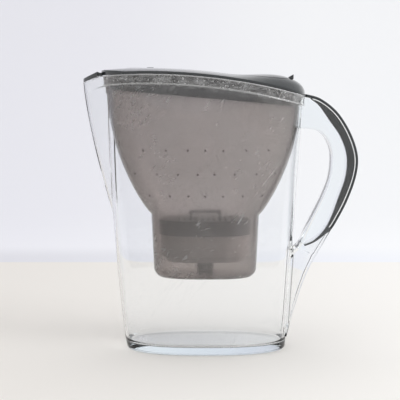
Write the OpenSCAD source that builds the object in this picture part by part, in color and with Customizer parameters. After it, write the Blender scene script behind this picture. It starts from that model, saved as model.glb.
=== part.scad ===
// Water filter pitcher with a flip lid.
// Origin under the middle of the whole pitcher, +Z up, spout towards -X, handle towards +X.
// The jug, funnel and lid share one bent rim: shapes are laid out level and then bent by bend_z.

/* [Jug] */
// Front of the base, along X
base_front_x = -89; // [-92:0.5:-80]
// Back of the base, along X
base_back_x = 62.5; // [58:0.5:66]
// Width of the base
base_w = 82; // [78:1:90]
// Front of the body at the rim, without the spout
top_front_x = -111; // [-116:0.5:-106]
// Back of the body at the rim
top_back_x = 78.5; // [76:0.5:82]
// Width of the body at the rim
top_w = 101; // [98:1:108]
// Height of the rim at its crest
rim_h = 261.5; // [250:0.5:275]
// Squareness of the oval section
oval_power = 2.5; // [2.2:0.1:3]
// Wall of the jug
jug_wall = 2.4; // [2:0.1:3]
// Thickness of the base
jug_floor = 7; // [4:0.5:9]
// Round inside the foot of the wall
floor_round = 5; // [3:0.5:7]

/* [Rim] */
// Place of the rim's crest along X
crest_x = -71; // [-80:1:-60]
// Radius of the rim's long arc
rim_arc_r = 570; // [520:10:700]
// Height of the thick band round the rim
band_h = 9.5; // [8:0.5:12]
// How far the band stands out
band_proud = 1.6; // [1:0.1:2]
// Width of the inner ledge that carries the funnel
ledge_w = 1.5; // [1:0.1:1.6]

/* [Spout] */
// Reach of the spout in front of the body
spout_reach = 19; // [16:0.5:20]
// Width of the spout at the rim
spout_w = 48; // [44:1:52]
// Width at the foot of the spout keel
spout_foot_w = 14; // [10:1:20]
// Height where the keel leaves the body
spout_foot_z = 128; // [115:1:140]
// Drop of the rim at the tip of the spout
spout_dip = 4.5; // [3:0.5:6]

/* [Handle] */
// Width of the handle
handle_w = 26; // [24:1:30]
// Thickness of the handle's side flanges
flange_t = 2.2; // [2:0.1:2.8]
// Thickness of the grip's outer lip
grip_lip = 2.4; // [2:0.1:3]
// Gap between the grip and the flanges
grip_gap = 0.2; // [0.1:0.05:0.4]

/* [Funnel] */
// Wall of the funnel
funnel_wall = 1.8; // [1.5:0.1:2.2]
// Middle of the chamber along X
chamber_x = -14.4; // [-18:0.2:-11]
// Length of the chamber at its neck
chamber_l = 102.6; // [100:0.2:105]
// Width of the chamber at its neck
chamber_w = 66; // [62:0.5:70]
// Height of the neck
neck_z = 130; // [128:1:138]
// Height of the underside of the chamber
chamber_z = 69; // [62:1:72]
// How much shorter and narrower the chamber is at its floor
chamber_taper = 5.5; // [4:0.5:7]
// Round at the foot of the chamber
chamber_round = 9; // [6:0.5:10]
// Diameter of the outlet stub
stub_d = 16; // [14:0.5:18]
// Bore of the outlet stub
stub_bore = 9; // [7:0.5:10]
// Height of the stub above the chamber floor
stub_h = 19; // [16:0.5:20]

/* [Cartridge] */
// Length of the cartridge
cartridge_l = 88; // [84:0.5:90]
// Width of the cartridge
cartridge_w = 54; // [50:0.5:56]
// Height of the cartridge cup
cartridge_h = 38; // [34:0.5:42]
// Wall of the cartridge cup
cup_wall = 1.5; // [1.2:0.1:2]
// Height of the cap's band
cap_band_h = 12; // [10:0.5:14]
// Thickness of each screen
screen_t = 0.8; // [0.6:0.1:1.2]
// Slots in the cap, along its length
cap_slots = 10; // [6:1:12]
// Width of a slot
slot_w = 2.4; // [1.6:0.1:3]

/* [Lid] */
// Shell of the lid
lid_wall = 2.2; // [1.8:0.1:2.6]
// Rise of the lid over the front of the rim
lid_rise = 6.2; // [5.8:0.1:7]
// Extra rise of the hump over the back of the rim
hump_rise = 8; // [6:0.5:10]
// Height of the lid's side where it meets the rim
lid_edge_h = 2.4; // [2:0.1:3]
// Depth of the inner skirt below the rim, at the middle
skirt_h = 19.5; // [16:0.5:20]
// Front of the fill opening
opening_front_x = -42; // [-46:0.5:-38]
// Back of the fill opening
opening_back_x = 67; // [63:0.5:68]
// Width of the fill opening
opening_w = 72; // [66:1:76]
// Depth of the throat round the fill opening
throat_h = 8; // [7.8:0.1:9]

/* [Flip lid] */
// Thickness of the flip lid
flap_t = 1.8; // [1.5:0.1:2]
// Gap between the flip lid and the opening
flap_gap = 0.5; // [0.3:0.1:0.8]
// Length of the hinge barrel
barrel_l = 32; // [26:1:34]
// Diameter of the hinge pins
hinge_pin_d = 2.4; // [2:0.1:2.6]
// Height of the thumb tab
tab_h = 5; // [4:0.5:7]
// Width of the thumb tab
tab_w = 22; // [16:1:26]

/* [Spout flap] */
// Thickness of the spout flap at its tip
spout_flap_t = 3.4; // [2.6:0.1:4]
// Length of the spout flap's barrel
spout_barrel_l = 20; // [16:1:24]
// Diameter of the spout flap's pins
spout_pin_d = 1.8; // [1.6:0.1:2]

/* [Change indicator] */
// Middle of the indicator along X
indicator_x = -75; // [-77:0.5:-73]
// Diameter of the indicator
indicator_d = 30; // [28:0.5:31]
// Height of the indicator
indicator_h = 9.6; // [9.3:0.1:10.4]
// Diameter of the start button
button_d = 7; // [6:0.5:8]
// Travel of the start button
button_travel = 0.6; // [0.4:0.1:0.7]

/* [Hidden] */

// Clearances
seat_gap = 0.3;
nest_gap = 0.5;
over = 1;
hair = 0.02;

// Shape of the walls over the height, as powers of the height
front_bow = 0.7;
back_bow = 0.9;
width_bow = 0.8;
keel_bow = 1.6;
beak_power = 1.4;
inset_power = 4;
bend_power = 3;
hopper_power = 0.83;

// Points on a ring: half of those across the spout, and those round the rest
beak_half = 4;
body_points = 51;
ring_points = 48;

ledge_z = rim_h - band_h;

function lerp(a, b, t) = a + (b - a) * t;
function part01(t) = max(0, min(1, t));
function smooth01(t) = let(u = part01(t)) u * u * (3 - 2 * u);
function signed_pow(v, p) = sign(v) * pow(abs(v), p);

// Body section at a level height
function front_x(z) = lerp(base_front_x, top_front_x, pow(part01(z / rim_h), front_bow));
function back_x(z) = lerp(base_back_x, top_back_x, pow(part01(z / rim_h), back_bow));
function half_w(z) = lerp(base_w, top_w, pow(part01(z / rim_h), width_bow)) / 2;
function mid_x(z) = (front_x(z) + back_x(z)) / 2;
function half_l(z) = (back_x(z) - front_x(z)) / 2;

// How far the bent rim lies below its crest
function rim_drop(x) = rim_arc_r - sqrt(rim_arc_r * rim_arc_r - pow(x - crest_x, 2));
function bend_share(z) = pow(part01(z / ledge_z), bend_power);
function bend_z(x, z) = z - rim_drop(x) * bend_share(z);

// The spout's keel
function keel_share(z) = part01((z - spout_foot_z) / (rim_h - spout_foot_z));
function keel_reach(z) = spout_reach * (1 - pow(1 - keel_share(z), keel_bow));
function keel_half_w(z) = lerp(spout_foot_w, spout_w, keel_share(z)) / 2;

// Length of an oval at a distance y from its long axis
function oval_x(y, a, b) = a * pow(max(0, 1 - pow(abs(y) / b, oval_power)), 1 / oval_power);

// One ring of the jug: z, how far in the body lies, how far in the spout lies at its middle
function jug_ring(z, body_in, beak_in) = let(
    cx = mid_x(z),
    a = half_l(z),
    b = half_w(z),
    w = keel_half_w(z) - beak_in / 2,
    reach = keel_reach(z),
    start = asin(pow(w / (b - body_in), oval_power / 2))
) concat(
    [for (j = [beak_half : -1 : -beak_half]) let(
        s = j / beak_half,
        y = w * s,
        out = 1 - pow(abs(s), beak_power),
        inset = lerp(beak_in, body_in, pow(abs(s), inset_power)),
        x = cx - oval_x(y, a - inset, b - inset) - reach * out
    ) [x, y, bend_z(x, z) - spout_dip * out * keel_share(z) * bend_share(z)]],
    [for (i = [1 : body_points]) let(
        q = lerp(start, 360 - start, i / (body_points + 1)),
        x = cx - (a - body_in) * signed_pow(cos(q), 2 / oval_power),
        y = -(b - body_in) * signed_pow(sin(q), 2 / oval_power)
    ) [x, y, bend_z(x, z)]]
);

// A closed ring of points on an oval, with its own middle, half sizes and power
function ring(cx, a, b, power, z) = [for (i = [0 : ring_points - 1]) let(
    q = 360 * i / ring_points,
    x = cx - a * signed_pow(cos(q), 2 / power),
    y = -b * signed_pow(sin(q), 2 / power)
) [x, y, z]];
function bent(points) = [for (p = points) [p[0], p[1], bend_z(p[0], p[2])]];

// A skin over rings, closed at both ends by flat caps
module skin_capped(rings) {
    n = len(rings[0]);
    last = len(rings) - 1;
    points = [for (r = rings) each r];
    sides = [for (k = [0 : last - 1]) for (i = [0 : n - 1]) let(j = (i + 1) % n)
        each [
            [k * n + i, (k + 1) * n + i, (k + 1) * n + j],
            [k * n + i, (k + 1) * n + j, k * n + j]
        ]];
    foot = [[for (i = [0 : n - 1]) i]];
    head = [[for (i = [0 : n - 1]) last * n + n - 1 - i]];
    polyhedron(points = points, faces = concat(sides, foot, head), convexity = 12);
}

// A skin over rings whose last ring joins the first, for a shell with a hole through it
module skin_looped(rings) {
    n = len(rings[0]);
    m = len(rings);
    points = [for (r = rings) each r];
    sides = [for (k = [0 : m - 1]) for (i = [0 : n - 1]) let(j = (i + 1) % n, next = (k + 1) % m)
        each [
            [k * n + i, next * n + i, next * n + j],
            [k * n + i, next * n + j, k * n + j]
        ]];
    polyhedron(points = points, faces = sides, convexity = 12);
}

// An oval with straight sides, flat or as a block
module stadium(l, w) {
    square([l - w, w], center = true);
    for (s = [-1, 1]) translate([s * (l - w) / 2, 0]) circle(d = w, $fn = 64);
}

module oval_block(l, w, h) {
    linear_extrude(height = h) stadium(l, w);
}

// The jug

wall_levels = [12, 26, 44, 64, 84, 104, 122, 136, 150, 166, 182, 198, 214, 230, 244];
foot_in = 3;
foot_h = 3;
rim_round = 0.7;

module jug_shell() {
    levels = [for (z = wall_levels) if (z < ledge_z - 3) z];
    deep = [for (z = levels) if (z > jug_floor + floor_round + 2) z];
    outer = concat(
        [jug_ring(0, foot_in, foot_in)],
        [jug_ring(foot_h * 0.3, foot_in * 0.3, foot_in * 0.3)],
        [jug_ring(foot_h, 0, 0)],
        [for (z = levels) if (z > foot_h + 2) jug_ring(z, 0, 0)],
        [jug_ring(ledge_z, 0, 0)],
        [jug_ring(ledge_z + rim_round, -band_proud, 0)],
        [jug_ring(rim_h - rim_round, -band_proud, 0)],
        [jug_ring(rim_h, rim_round - band_proud, rim_round)]
    );
    inner = concat(
        [jug_ring(rim_h, jug_wall - ledge_w, jug_wall)],
        [jug_ring(ledge_z, jug_wall - ledge_w, jug_wall)],
        [jug_ring(ledge_z - hair, jug_wall, jug_wall)],
        [for (k = [len(deep) - 1 : -1 : 0]) jug_ring(deep[k], jug_wall, jug_wall)],
        [for (q = [0 : 30 : 90]) jug_ring(
            jug_floor + floor_round * (1 - sin(q)),
            jug_wall + floor_round * (1 - cos(q)),
            jug_wall + floor_round * (1 - cos(q))
        )]
    );
    skin_capped(concat(outer, inner));
}

// Side view of the handle: pairs of points on its outer and finger sides, along X and Z,
// as they lie under a rim of height pairs_rim_h
pairs_rim_h = 261.5;
handle_pairs = [
    [[73.5, 243.5], [73.5, 211]],
    [[94, 239], [87, 210]],
    [[109, 227.5], [96, 206]],
    [[120.5, 211], [102, 198]],
    [[128, 193], [105, 189]],
    [[130, 178], [105.5, 177]],
    [[127, 161], [103.3, 162]],
    [[120, 142], [98, 147.5]],
    [[112.5, 127], [92, 135]],
    [[105.5, 115.5], [86.5, 124]]
];
tail_pairs = [
    [[105.5, 115.5], [86.5, 124]],
    [[99.5, 105], [80.5, 112]],
    [[93, 93.5], [74, 99.5]],
    [[86, 81], [66, 90]],
    [[79, 65], [64, 68]],
    [[73, 47], [62.5, 50]],
    [[68, 30], [61.5, 32]],
    [[63.5, 12], [60.5, 12]]
];
// The grip: pairs on its outer side and on its deep side; its lip covers the first of them
lip_pairs = 10;
grip_pairs = [
    [[81, 243], [82, 240]],
    [[94, 239], [92, 233]],
    [[109, 227.5], [102.5, 218.5]],
    [[120.5, 211], [112, 205]],
    [[128, 193], [118, 190.5]],
    [[130, 178], [119.5, 177.5]],
    [[127, 161], [117.5, 162.5]],
    [[120, 142], [111.5, 145]],
    [[112.5, 127], [105.5, 131]],
    [[105.5, 115.5], [99.8, 119.5]],
    [[97.5, 108.5], [93.2, 112.2]],
    [[89, 102.5], [86.2, 105.4]],
    [[80.5, 99], [79, 101]]
];
fin_top_z = 98;
fin_foot_z = 2;
fin_steps = 8;
fin_reach = 40;
fin_fall = 16;

function raised(pairs) = [for (p = pairs) [for (q = p) [q[0], q[1] * rim_h / pairs_rim_h]]];

// A smooth curve through a list of pairs, with steps points between two of them
function catmull(a, b, c, d, t) =
    (2 * b + (c - a) * t + (2 * a - 5 * b + 4 * c - d) * t * t + (3 * b - a - 3 * c + d) * t * t * t) / 2;
function smooth_pairs(pairs, steps) = let(last = len(pairs) - 1) concat(
    [for (i = [0 : last - 1]) for (k = [0 : steps - 1]) let(
        a = pairs[max(0, i - 1)],
        b = pairs[i],
        c = pairs[i + 1],
        d = pairs[min(last, i + 2)]
    ) [for (side = [0, 1]) catmull(a[side], b[side], c[side], d[side], k / steps)]],
    [pairs[last]]
);

// One ring across the handle, between two points of its side view
function cross_ring(outer, inner, w, corner) = let(
    l = norm(outer - inner),
    way = (outer - inner) / l,
    c = min(corner, l / 3),
    plan = corner == 0 ? [[0, -w / 2], [l, -w / 2], [l, w / 2], [0, w / 2]] : [
        [0, c - w / 2],
        [c, -w / 2],
        [l - c / 2, -w / 2],
        [l, c / 2 - w / 2],
        [l, w / 2 - c / 2],
        [l - c / 2, w / 2],
        [c, w / 2],
        [0, w / 2 - c]
    ]
) [for (p = plan) [inner[0] + way[0] * p[0], p[1], inner[1] + way[1] * p[0]]];

// A bar along pairs, cut short by a length at its outer side and at its inner side
module bar(pairs, w, corner, outer_cut, inner_cut) {
    rings = [for (p = pairs) let(way = (p[0] - p[1]) / norm(p[0] - p[1]))
        cross_ring(p[0] - way * outer_cut, p[1] + way * inner_cut, w, corner)];
    for (i = [0 : len(rings) - 2]) hull() skin_capped([rings[i], rings[i + 1]]);
}

handle_corner = 3;
channel_w = handle_w - 2 * flange_t;
grip_w = channel_w - 2 * grip_gap;
channel_reach = 24;
lip_gap = 0.12;
tail_web = 1.2;

end_share = 0.03;

// Side views of the whole grip, of its part under the lip, of its foot and of the lip over the flanges
function grip_side() = smooth_pairs(raised(grip_pairs), 2);
function grip_top_side() = [for (i = [0 : 2 * (lip_pairs - 1)]) grip_side()[i]];
function grip_foot_side() = [for (i = [2 * (lip_pairs - 1) : len(grip_side()) - 1]) grip_side()[i]];
function lip_side() = [for (p = grip_top_side()) [p[0], p[0] - grip_lip * (p[0] - p[1]) / norm(p[0] - p[1])]];

// A side view with both of its ends moved out by a share of the last step
function stretched(side) = let(n = len(side)) concat(
    [side[0] + end_share * (side[0] - side[1])],
    side,
    [side[n - 1] + end_share * (side[n - 1] - side[n - 2])]
);

module jug_body() {
    handle = smooth_pairs(raised(handle_pairs), 2);
    tail = smooth_pairs(raised(tail_pairs), 2);
    levels = concat([jug_floor], wall_levels, [rim_h]);
    fin = [for (k = [0 : fin_steps]) let(z = lerp(fin_top_z * rim_h / pairs_rim_h, fin_foot_z, k / fin_steps))
        [[back_x(z) + fin_reach, z - fin_fall], [back_x(z) + tail_web, z]]];
    color([0.86, 0.9, 0.93, 0.35])
    difference() {
        union() {
            jug_shell();
            difference() {
                union() {
                    bar(handle, handle_w, handle_corner, grip_lip - seat_gap, 0);
                    bar(tail, handle_w, handle_corner, 0, 0);
                }
                // The inside of the jug stays clear of the handle's root
                skin_capped([for (z = levels) jug_ring(z, jug_wall / 2, jug_wall / 2)]);
            }
        }
        bar(stretched(grip_side()), channel_w, 0, -channel_reach, -grip_gap);
        bar(stretched(lip_side()), handle_w + 2 * over, 0, -channel_reach / 2, -lip_gap);
        bar(fin, channel_w, 0, 0, 0);
    }
}

module handle_grip() {
    color([0.2, 0.21, 0.22])
    union() {
        bar(grip_top_side(), grip_w, 1, grip_lip / 2, 0);
        bar(grip_foot_side(), grip_w, 1, 0, 0);
        bar(lip_side(), handle_w, 1.2, 0, 0);
    }
}

// The funnel

flange_in = jug_wall - ledge_w + nest_gap;
hopper_in = jug_wall + nest_gap + 0.3;
funnel_top_z = rim_h - 1;
flange_z = ledge_z + seat_gap;
hopper_shares = [0, 0.12, 0.25, 0.38, 0.5, 0.62, 0.75, 0.88, 1];
chamber_power = 2.8;
stub_top_z = chamber_z + funnel_wall + stub_h;

// Hopper section between the neck, at 0, and the flange, at 1
function hopper_ring(v, skin) = let(
    g = sin(90 * pow(v, hopper_power)),
    z = lerp(neck_z, ledge_z, v),
    cx = lerp(chamber_x, mid_x(ledge_z), g),
    a = lerp(chamber_l / 2, half_l(ledge_z) - hopper_in, g) - skin,
    b = lerp(chamber_w / 2, half_w(ledge_z) - hopper_in, g) - skin
) bent(ring(cx, a, b, lerp(chamber_power, oval_power, g), z));

// Chamber section at a height, drawn in by an inset
function chamber_ring(z, inset) = let(
    t = part01((neck_z - z) / (neck_z - chamber_z)),
    a = (chamber_l - chamber_taper * t) / 2 - inset,
    b = (chamber_w - chamber_taper * t) / 2 - inset
) bent(ring(chamber_x, a, b, chamber_power, z));

function rim_ring(z, inset) = bent(ring(mid_x(z), half_l(z) - inset, half_w(z) - inset, oval_power, z));
function flat_circle(r, z) = bent(ring(chamber_x, r, r, 2, z));

module funnel() {
    inner_round = chamber_round - funnel_wall;
    floor_z = chamber_z + funnel_wall;
    color([0.42, 0.39, 0.38, 0.7])
    skin_looped(concat(
        [flat_circle(stub_bore / 2, stub_top_z)],
        [flat_circle(stub_bore / 2, chamber_z)],
        [for (q = [0 : 30 : 90]) chamber_ring(
            chamber_z + chamber_round * (1 - cos(q)),
            chamber_round * (1 - sin(q))
        )],
        [chamber_ring(lerp(chamber_z, neck_z, 0.55), 0)],
        [for (v = hopper_shares) if (v < 1) hopper_ring(v, 0)],
        [rim_ring(ledge_z - seat_gap, hopper_in)],
        [rim_ring(flange_z, hopper_in)],
        [rim_ring(flange_z, flange_in)],
        [rim_ring(funnel_top_z, flange_in)],
        [rim_ring(funnel_top_z, flange_in + funnel_wall)],
        [rim_ring(flange_z + funnel_wall, flange_in + funnel_wall)],
        [rim_ring(flange_z, hopper_in + funnel_wall)],
        [for (k = [len(hopper_shares) - 2 : -1 : 0]) hopper_ring(hopper_shares[k], funnel_wall)],
        [chamber_ring(lerp(chamber_z, neck_z, 0.55), funnel_wall)],
        [for (q = [90 : -30 : 0]) chamber_ring(
            floor_z + inner_round * (1 - cos(q)),
            funnel_wall + inner_round * (1 - sin(q))
        )],
        [flat_circle(stub_d / 2, floor_z)],
        [flat_circle(stub_d / 2, stub_top_z)]
    ));
}

// The cartridge: it stands on the outlet stub, which enters a socket in its floor

socket_h = 7;
seal_t = 1.5;
socket_gap = 0.5;
boss_wall = 2.5;
boss_h = 9;
foot_step = 5;
cap_t = 2;
cap_wall = 1.2;
bar_l = 30;
bar_w = 7;
bar_h = 8;
bar_t = 2.4;
cup_z = stub_top_z + seat_gap + seal_t - socket_h;
cup_l = cartridge_l - 2 * cap_wall - 0.4;
cup_w = cartridge_w - 2 * cap_wall - 0.4;
cup_top_z = cup_z + cartridge_h;
inside_l = cup_l - 2 * cup_wall;
inside_w = cup_w - 2 * cup_wall;
fit_gap = 0.15;
bottom_screen_z = cup_z + boss_h + fit_gap;
top_screen_z = cup_top_z - screen_t - 1;

module at_chamber(z) {
    translate([chamber_x, 0, z]) children();
}

module cartridge_cup() {
    color([0.36, 0.35, 0.36])
    at_chamber(cup_z) difference() {
        union() {
            difference() {
                union() {
                    translate([0, 0, foot_step]) oval_block(cup_l, cup_w, cartridge_h - foot_step);
                    oval_block(cup_l - 2 * foot_step, cup_w - 2 * foot_step, foot_step + hair);
                }
                translate([0, 0, foot_step + cup_wall]) oval_block(inside_l, inside_w, cartridge_h);
                translate([0, 0, cup_wall])
                    oval_block(inside_l - 2 * foot_step, inside_w - 2 * foot_step, cartridge_h);
            }
            cylinder(d = stub_d + 2 * socket_gap + 2 * boss_wall, h = boss_h, $fn = 48);
        }
        translate([0, 0, -over]) cylinder(d = stub_d + 2 * socket_gap, h = socket_h + over, $fn = 48);
        cylinder(d = stub_bore, h = boss_h + over, $fn = 48);
    }
}

module cartridge_cap() {
    slot_pitch = (cartridge_l - cartridge_w * 0.6) / cap_slots;
    slot_l = cartridge_w * 0.26;
    slot_y = bar_w / 2 + slot_l / 2 + 1;
    color([0.25, 0.25, 0.27])
    at_chamber(cup_top_z) {
        difference() {
            translate([0, 0, -cap_band_h]) oval_block(cartridge_l, cartridge_w, cap_band_h + cap_t);
            translate([0, 0, -cap_band_h - over])
                oval_block(cartridge_l - 2 * cap_wall, cartridge_w - 2 * cap_wall, cap_band_h + over);
            for (i = [0 : cap_slots - 1]) for (s = [-1, 1])
                translate([(i - (cap_slots - 1) / 2) * slot_pitch, s * slot_y, cap_t / 2])
                    cube([slot_w, slot_l, cap_t * 3], center = true);
        }
        // Finger bar to lift the cartridge out
        difference() {
            translate([-bar_l / 2, -bar_w / 2, cap_t - hair]) cube([bar_l, bar_w, bar_h]);
            translate([bar_t - bar_l / 2, -bar_w / 2 - over, cap_t])
                cube([bar_l - 2 * bar_t, bar_w + 2 * over, bar_h - bar_t]);
        }
    }
}

module outlet_seal() {
    color([0.15, 0.15, 0.16])
    at_chamber(stub_top_z + seat_gap) difference() {
        cylinder(d = stub_d, h = seal_t, $fn = 48);
        translate([0, 0, -over]) cylinder(d = stub_bore + 1, h = seal_t + 2 * over, $fn = 48);
    }
}

module screen_plate(z) {
    pitch = 8;
    columns = floor((inside_l - inside_w) / pitch / 2);
    rows = floor((inside_w / 2 - 6) / pitch);
    at_chamber(z) difference() {
        oval_block(inside_l - 2 * fit_gap, inside_w - 2 * fit_gap, screen_t);
        for (i = [-columns : columns]) for (j = [-rows : rows])
            translate([i * pitch, j * pitch, -over]) cylinder(d = 3, h = screen_t + 2 * over, $fn = 24);
    }
}

module top_screen() {
    color([0.8, 0.8, 0.78]) screen_plate(top_screen_z);
}

module bottom_screen() {
    color([0.8, 0.8, 0.78]) screen_plate(bottom_screen_z);
}

module filter_media() {
    z = bottom_screen_z + screen_t + fit_gap;
    color([0.12, 0.11, 0.1])
    at_chamber(z) oval_block(inside_l - 2 * fit_gap, inside_w - 2 * fit_gap, top_screen_z - fit_gap - z);
}

// The lid

lid_back_in = -band_proud;
lid_seat_z = rim_h + seat_gap;
skirt_in = hopper_in + funnel_wall + nest_gap + 0.3;
skirt_t = 1.8;
skirt_rise = 7.5;
skirt_taper = 1;
throat_wall = 1.5;
end_power = 12;
dome_power = 3.5;
hump_start_x = 5;
hump_end_x = 62;
front_edge_rise = 2.6;
front_edge_x = -88;
front_edge_run = 20;
opening_power = 3;
lid_l2 = half_l(rim_h) + band_proud;
lid_w2 = half_w(rim_h) + band_proud;

// Hinge of the flip lid: the barrel lies flush with the lid's top, in a notch before the opening
barrel_d = 6;
notch_gap = 0.4;
hinge_x = opening_front_x + barrel_d / 2 + notch_gap;
main_front_x = hinge_x + barrel_d / 2 + notch_gap;
ear_t = 4.5;
pin_l = 3.8;
pin_play = 0.05;
bore_end_gap = 0.3;

// Level height of the lid's top: a crown along the middle that falls to the sides as a gentle dome
function lid_half_w(x) = max(0.5, lid_w2 / lid_l2 * oval_x(x - mid_x(rim_h), lid_l2, lid_l2));
function lid_edge(x) = lid_edge_h + front_edge_rise * part01((front_edge_x - x) / front_edge_run);
function lid_crown(x) = lid_rise + hump_rise * smooth01((x - hump_start_x) / (hump_end_x - hump_start_x));
function lid_top(x, y) = let(
    edge = lid_edge(x),
    end = sqrt(max(0, 1 - pow(min(1, abs(x - mid_x(rim_h)) / lid_l2), end_power))),
    dome = 1 - pow(min(1, abs(y) / lid_half_w(x)), dome_power)
) rim_h + edge + (lid_crown(x) - edge) * end * dome;
function lid_top_z(x, y) = bend_z(x, lid_top(x, y));

function opening_ring(grow) = ring(
    (main_front_x + opening_back_x) / 2,
    (opening_back_x - main_front_x) / 2 + grow,
    opening_w / 2 + grow,
    opening_power,
    0
);
function lid_outline(inset) =
    ring(mid_x(rim_h), half_l(rim_h) - inset, half_w(rim_h) - inset, oval_power, 0);

// Points between two outlines, laid on the lid's top and then lowered
function on_top(inner, outer, u, lower) = [for (i = [0 : ring_points - 1]) let(
    x = lerp(inner[i][0], outer[i][0], u),
    y = lerp(inner[i][1], outer[i][1], u)
) [x, y, lid_top_z(x, y) - lower]];

module lid_skin() {
    opening = opening_ring(0);
    throat = opening_ring(throat_wall);
    edge = lid_outline(lid_back_in);
    skirt = lid_outline(skirt_in + skirt_t);
    // The skirt's foot is drawn in a little and rises towards both ends
    function foot(inset) = bent([for (p = lid_outline(inset + skirt_taper))
        [p[0], p[1], rim_h - skirt_h + skirt_rise * pow((p[0] - mid_x(rim_h)) / lid_l2, 2)]]);
    skin_looped(concat(
        [on_top(opening, edge, 0, throat_h)],
        [on_top(throat, edge, 0, throat_h)],
        [for (u = [0, 0.35, 0.7, 0.93]) on_top(throat, skirt, u, lid_wall)],
        [foot(skirt_in + skirt_t)],
        [foot(skirt_in)],
        [bent([for (p = lid_outline(skirt_in)) [p[0], p[1], lid_seat_z]])],
        [bent([for (p = edge) [p[0], p[1], lid_seat_z]])],
        [for (u = [1, 0.985, 0.95, 0.89, 0.8, 0.65, 0.4, 0.15, 0]) on_top(opening, edge, u, 0)]
    ));
}

spout_hinge_x = mid_x(rim_h) - lid_l2 - 2.7;
spout_barrel_d = 3.8;
spout_hinge_z = bend_z(spout_hinge_x, rim_h) + seat_gap + spout_barrel_d / 2;
spout_ear_t = 3;
spout_pin_l = 2.4;
side_gap = 0.4;
well_wall = 1.6;
well_gap = 0.3;
well_lip = 3;
indicator_top_z = lid_top_z(indicator_x, 0);
rest_w = 20;
rest_l = 3;
rest_t = 2;
flap_block = 40;

// A round bar along Y, in the middle or on both sides of it
module cross_bar(x, z, d, l, side_y) {
    places = side_y == 0 ? [0] : [side_y + l / 2, -side_y - l / 2];
    for (y = places) translate([x, y, z])
        rotate([90, 0, 0]) cylinder(d = d, h = l, center = true, $fn = 48);
}

module lid_frame() {
    hinge_z = lid_top_z(hinge_x, 0) - barrel_d / 2;
    ear_y = barrel_l / 2 + side_gap;
    spout_ear_y = spout_barrel_l / 2 + side_gap;
    spout_bore_l = 2 * (spout_ear_y + spout_pin_l + bore_end_gap);
    well_z = indicator_top_z - indicator_h - well_gap;
    rest_x = opening_back_x + throat_wall / 2;
    rest_top = lid_top_z(opening_back_x - flap_gap, rest_w / 2) - flap_t - seat_gap;
    color([0.16, 0.17, 0.17])
    difference() {
        union() {
            lid_skin();
            // Ears of the flip lid's hinge, under the top
            for (s = [-1, 1]) translate([
                hinge_x - barrel_d / 2 - notch_gap,
                s * (ear_y + ear_t / 2) - ear_t / 2,
                hinge_z - barrel_d / 2
            ]) cube([barrel_d + notch_gap, ear_t, barrel_d - 0.8]);
            // Ears of the spout flap's hinge, in front of the lid
            cross_bar(spout_hinge_x, spout_hinge_z, spout_barrel_d, spout_ear_t, spout_ear_y);
            for (s = [-1, 1]) translate([
                spout_hinge_x,
                s * (spout_ear_y + spout_ear_t / 2) - spout_ear_t / 2,
                spout_hinge_z - spout_barrel_d / 2
            ]) cube([4.5, spout_ear_t, spout_barrel_d * 0.8]);
            // Well of the change indicator
            translate([indicator_x, 0, well_z - well_wall])
                cylinder(d = indicator_d + 2 * well_gap + 2 * well_wall, h = indicator_h, $fn = 96);
            // Rest under the free end of the flip lid
            translate([opening_back_x - rest_l, -rest_w / 2, rest_top - rest_t])
                cube([rest_x - opening_back_x + rest_l, rest_w, rest_t]);
        }
        translate([opening_front_x, -ear_y, hinge_z - barrel_d / 2 - notch_gap])
            cube([main_front_x - opening_front_x + 2 * over, 2 * ear_y, barrel_d * 2]);
        cross_bar(hinge_x, hinge_z, hinge_pin_d + 2 * pin_play, 2 * (ear_y + pin_l + bore_end_gap), 0);
        cross_bar(spout_hinge_x, spout_hinge_z, spout_pin_d + 2 * pin_play, spout_bore_l, 0);
        translate([indicator_x, 0, well_z])
            cylinder(d = indicator_d + 2 * well_gap, h = indicator_h * 2, $fn = 96);
        translate([indicator_x, 0, well_z - well_wall - over])
            cylinder(d = indicator_d - 2 * well_lip, h = indicator_h, $fn = 96);
    }
}

module flip_lid() {
    plan = [for (p = opening_ring(-flap_gap)) [p[0], p[1]]];
    middle_x = (main_front_x + opening_back_x) / 2;
    steps = [0.02, 0.3, 0.55, 0.75, 0.88, 0.95, 1];
    last = len(steps) - 1;
    hinge_z = lid_top_z(hinge_x, 0) - barrel_d / 2;
    tongue_x = main_front_x + 6;
    tab_x = opening_back_x - 1.2;
    tab_z = lid_top_z(tab_x, 0);
    tab_foot_z = lid_top_z(opening_back_x, 0) + seat_gap;
    function level(k, lower) = [for (p = plan) let(
        x = middle_x + (p[0] - middle_x) * steps[k],
        y = p[1] * steps[k]
    ) [x, y, lid_top_z(x, y) - lower]];
    color([0.2, 0.21, 0.21])
    union() {
        skin_capped(concat(
            [for (k = [0 : last]) level(k, flap_t)],
            [for (k = [last : -1 : 0]) level(k, 0)]
        ));
        // Tongue and barrel of the hinge
        rotate([90, 0, 0]) linear_extrude(height = barrel_l, center = true) polygon([
            [hinge_x, hinge_z + barrel_d / 2],
            [tongue_x, lid_top_z(tongue_x, 0) - hair],
            [tongue_x, lid_top_z(tongue_x, 0) - flap_t],
            [hinge_x, hinge_z + barrel_d / 2 - flap_t]
        ]);
        cross_bar(hinge_x, hinge_z, barrel_d, barrel_l, 0);
        cross_bar(hinge_x, hinge_z, hinge_pin_d, barrel_l + 2 * (side_gap + pin_l), 0);
        // Thumb tab over the back of the lid
        rotate([90, 0, 0]) linear_extrude(height = tab_w, center = true) polygon([
            [tab_x - 4, lid_top_z(tab_x - 4, 0) - flap_t / 2],
            [tab_x - 0.5, tab_z + 0.3],
            [tab_x + 4.2, tab_z + tab_h - 1.5],
            [tab_x + 4.2, tab_foot_z],
            [tab_x + 0.5, tab_foot_z],
            [tab_x + 0.2, tab_z - 0.9]
        ]);
    }
}

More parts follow.
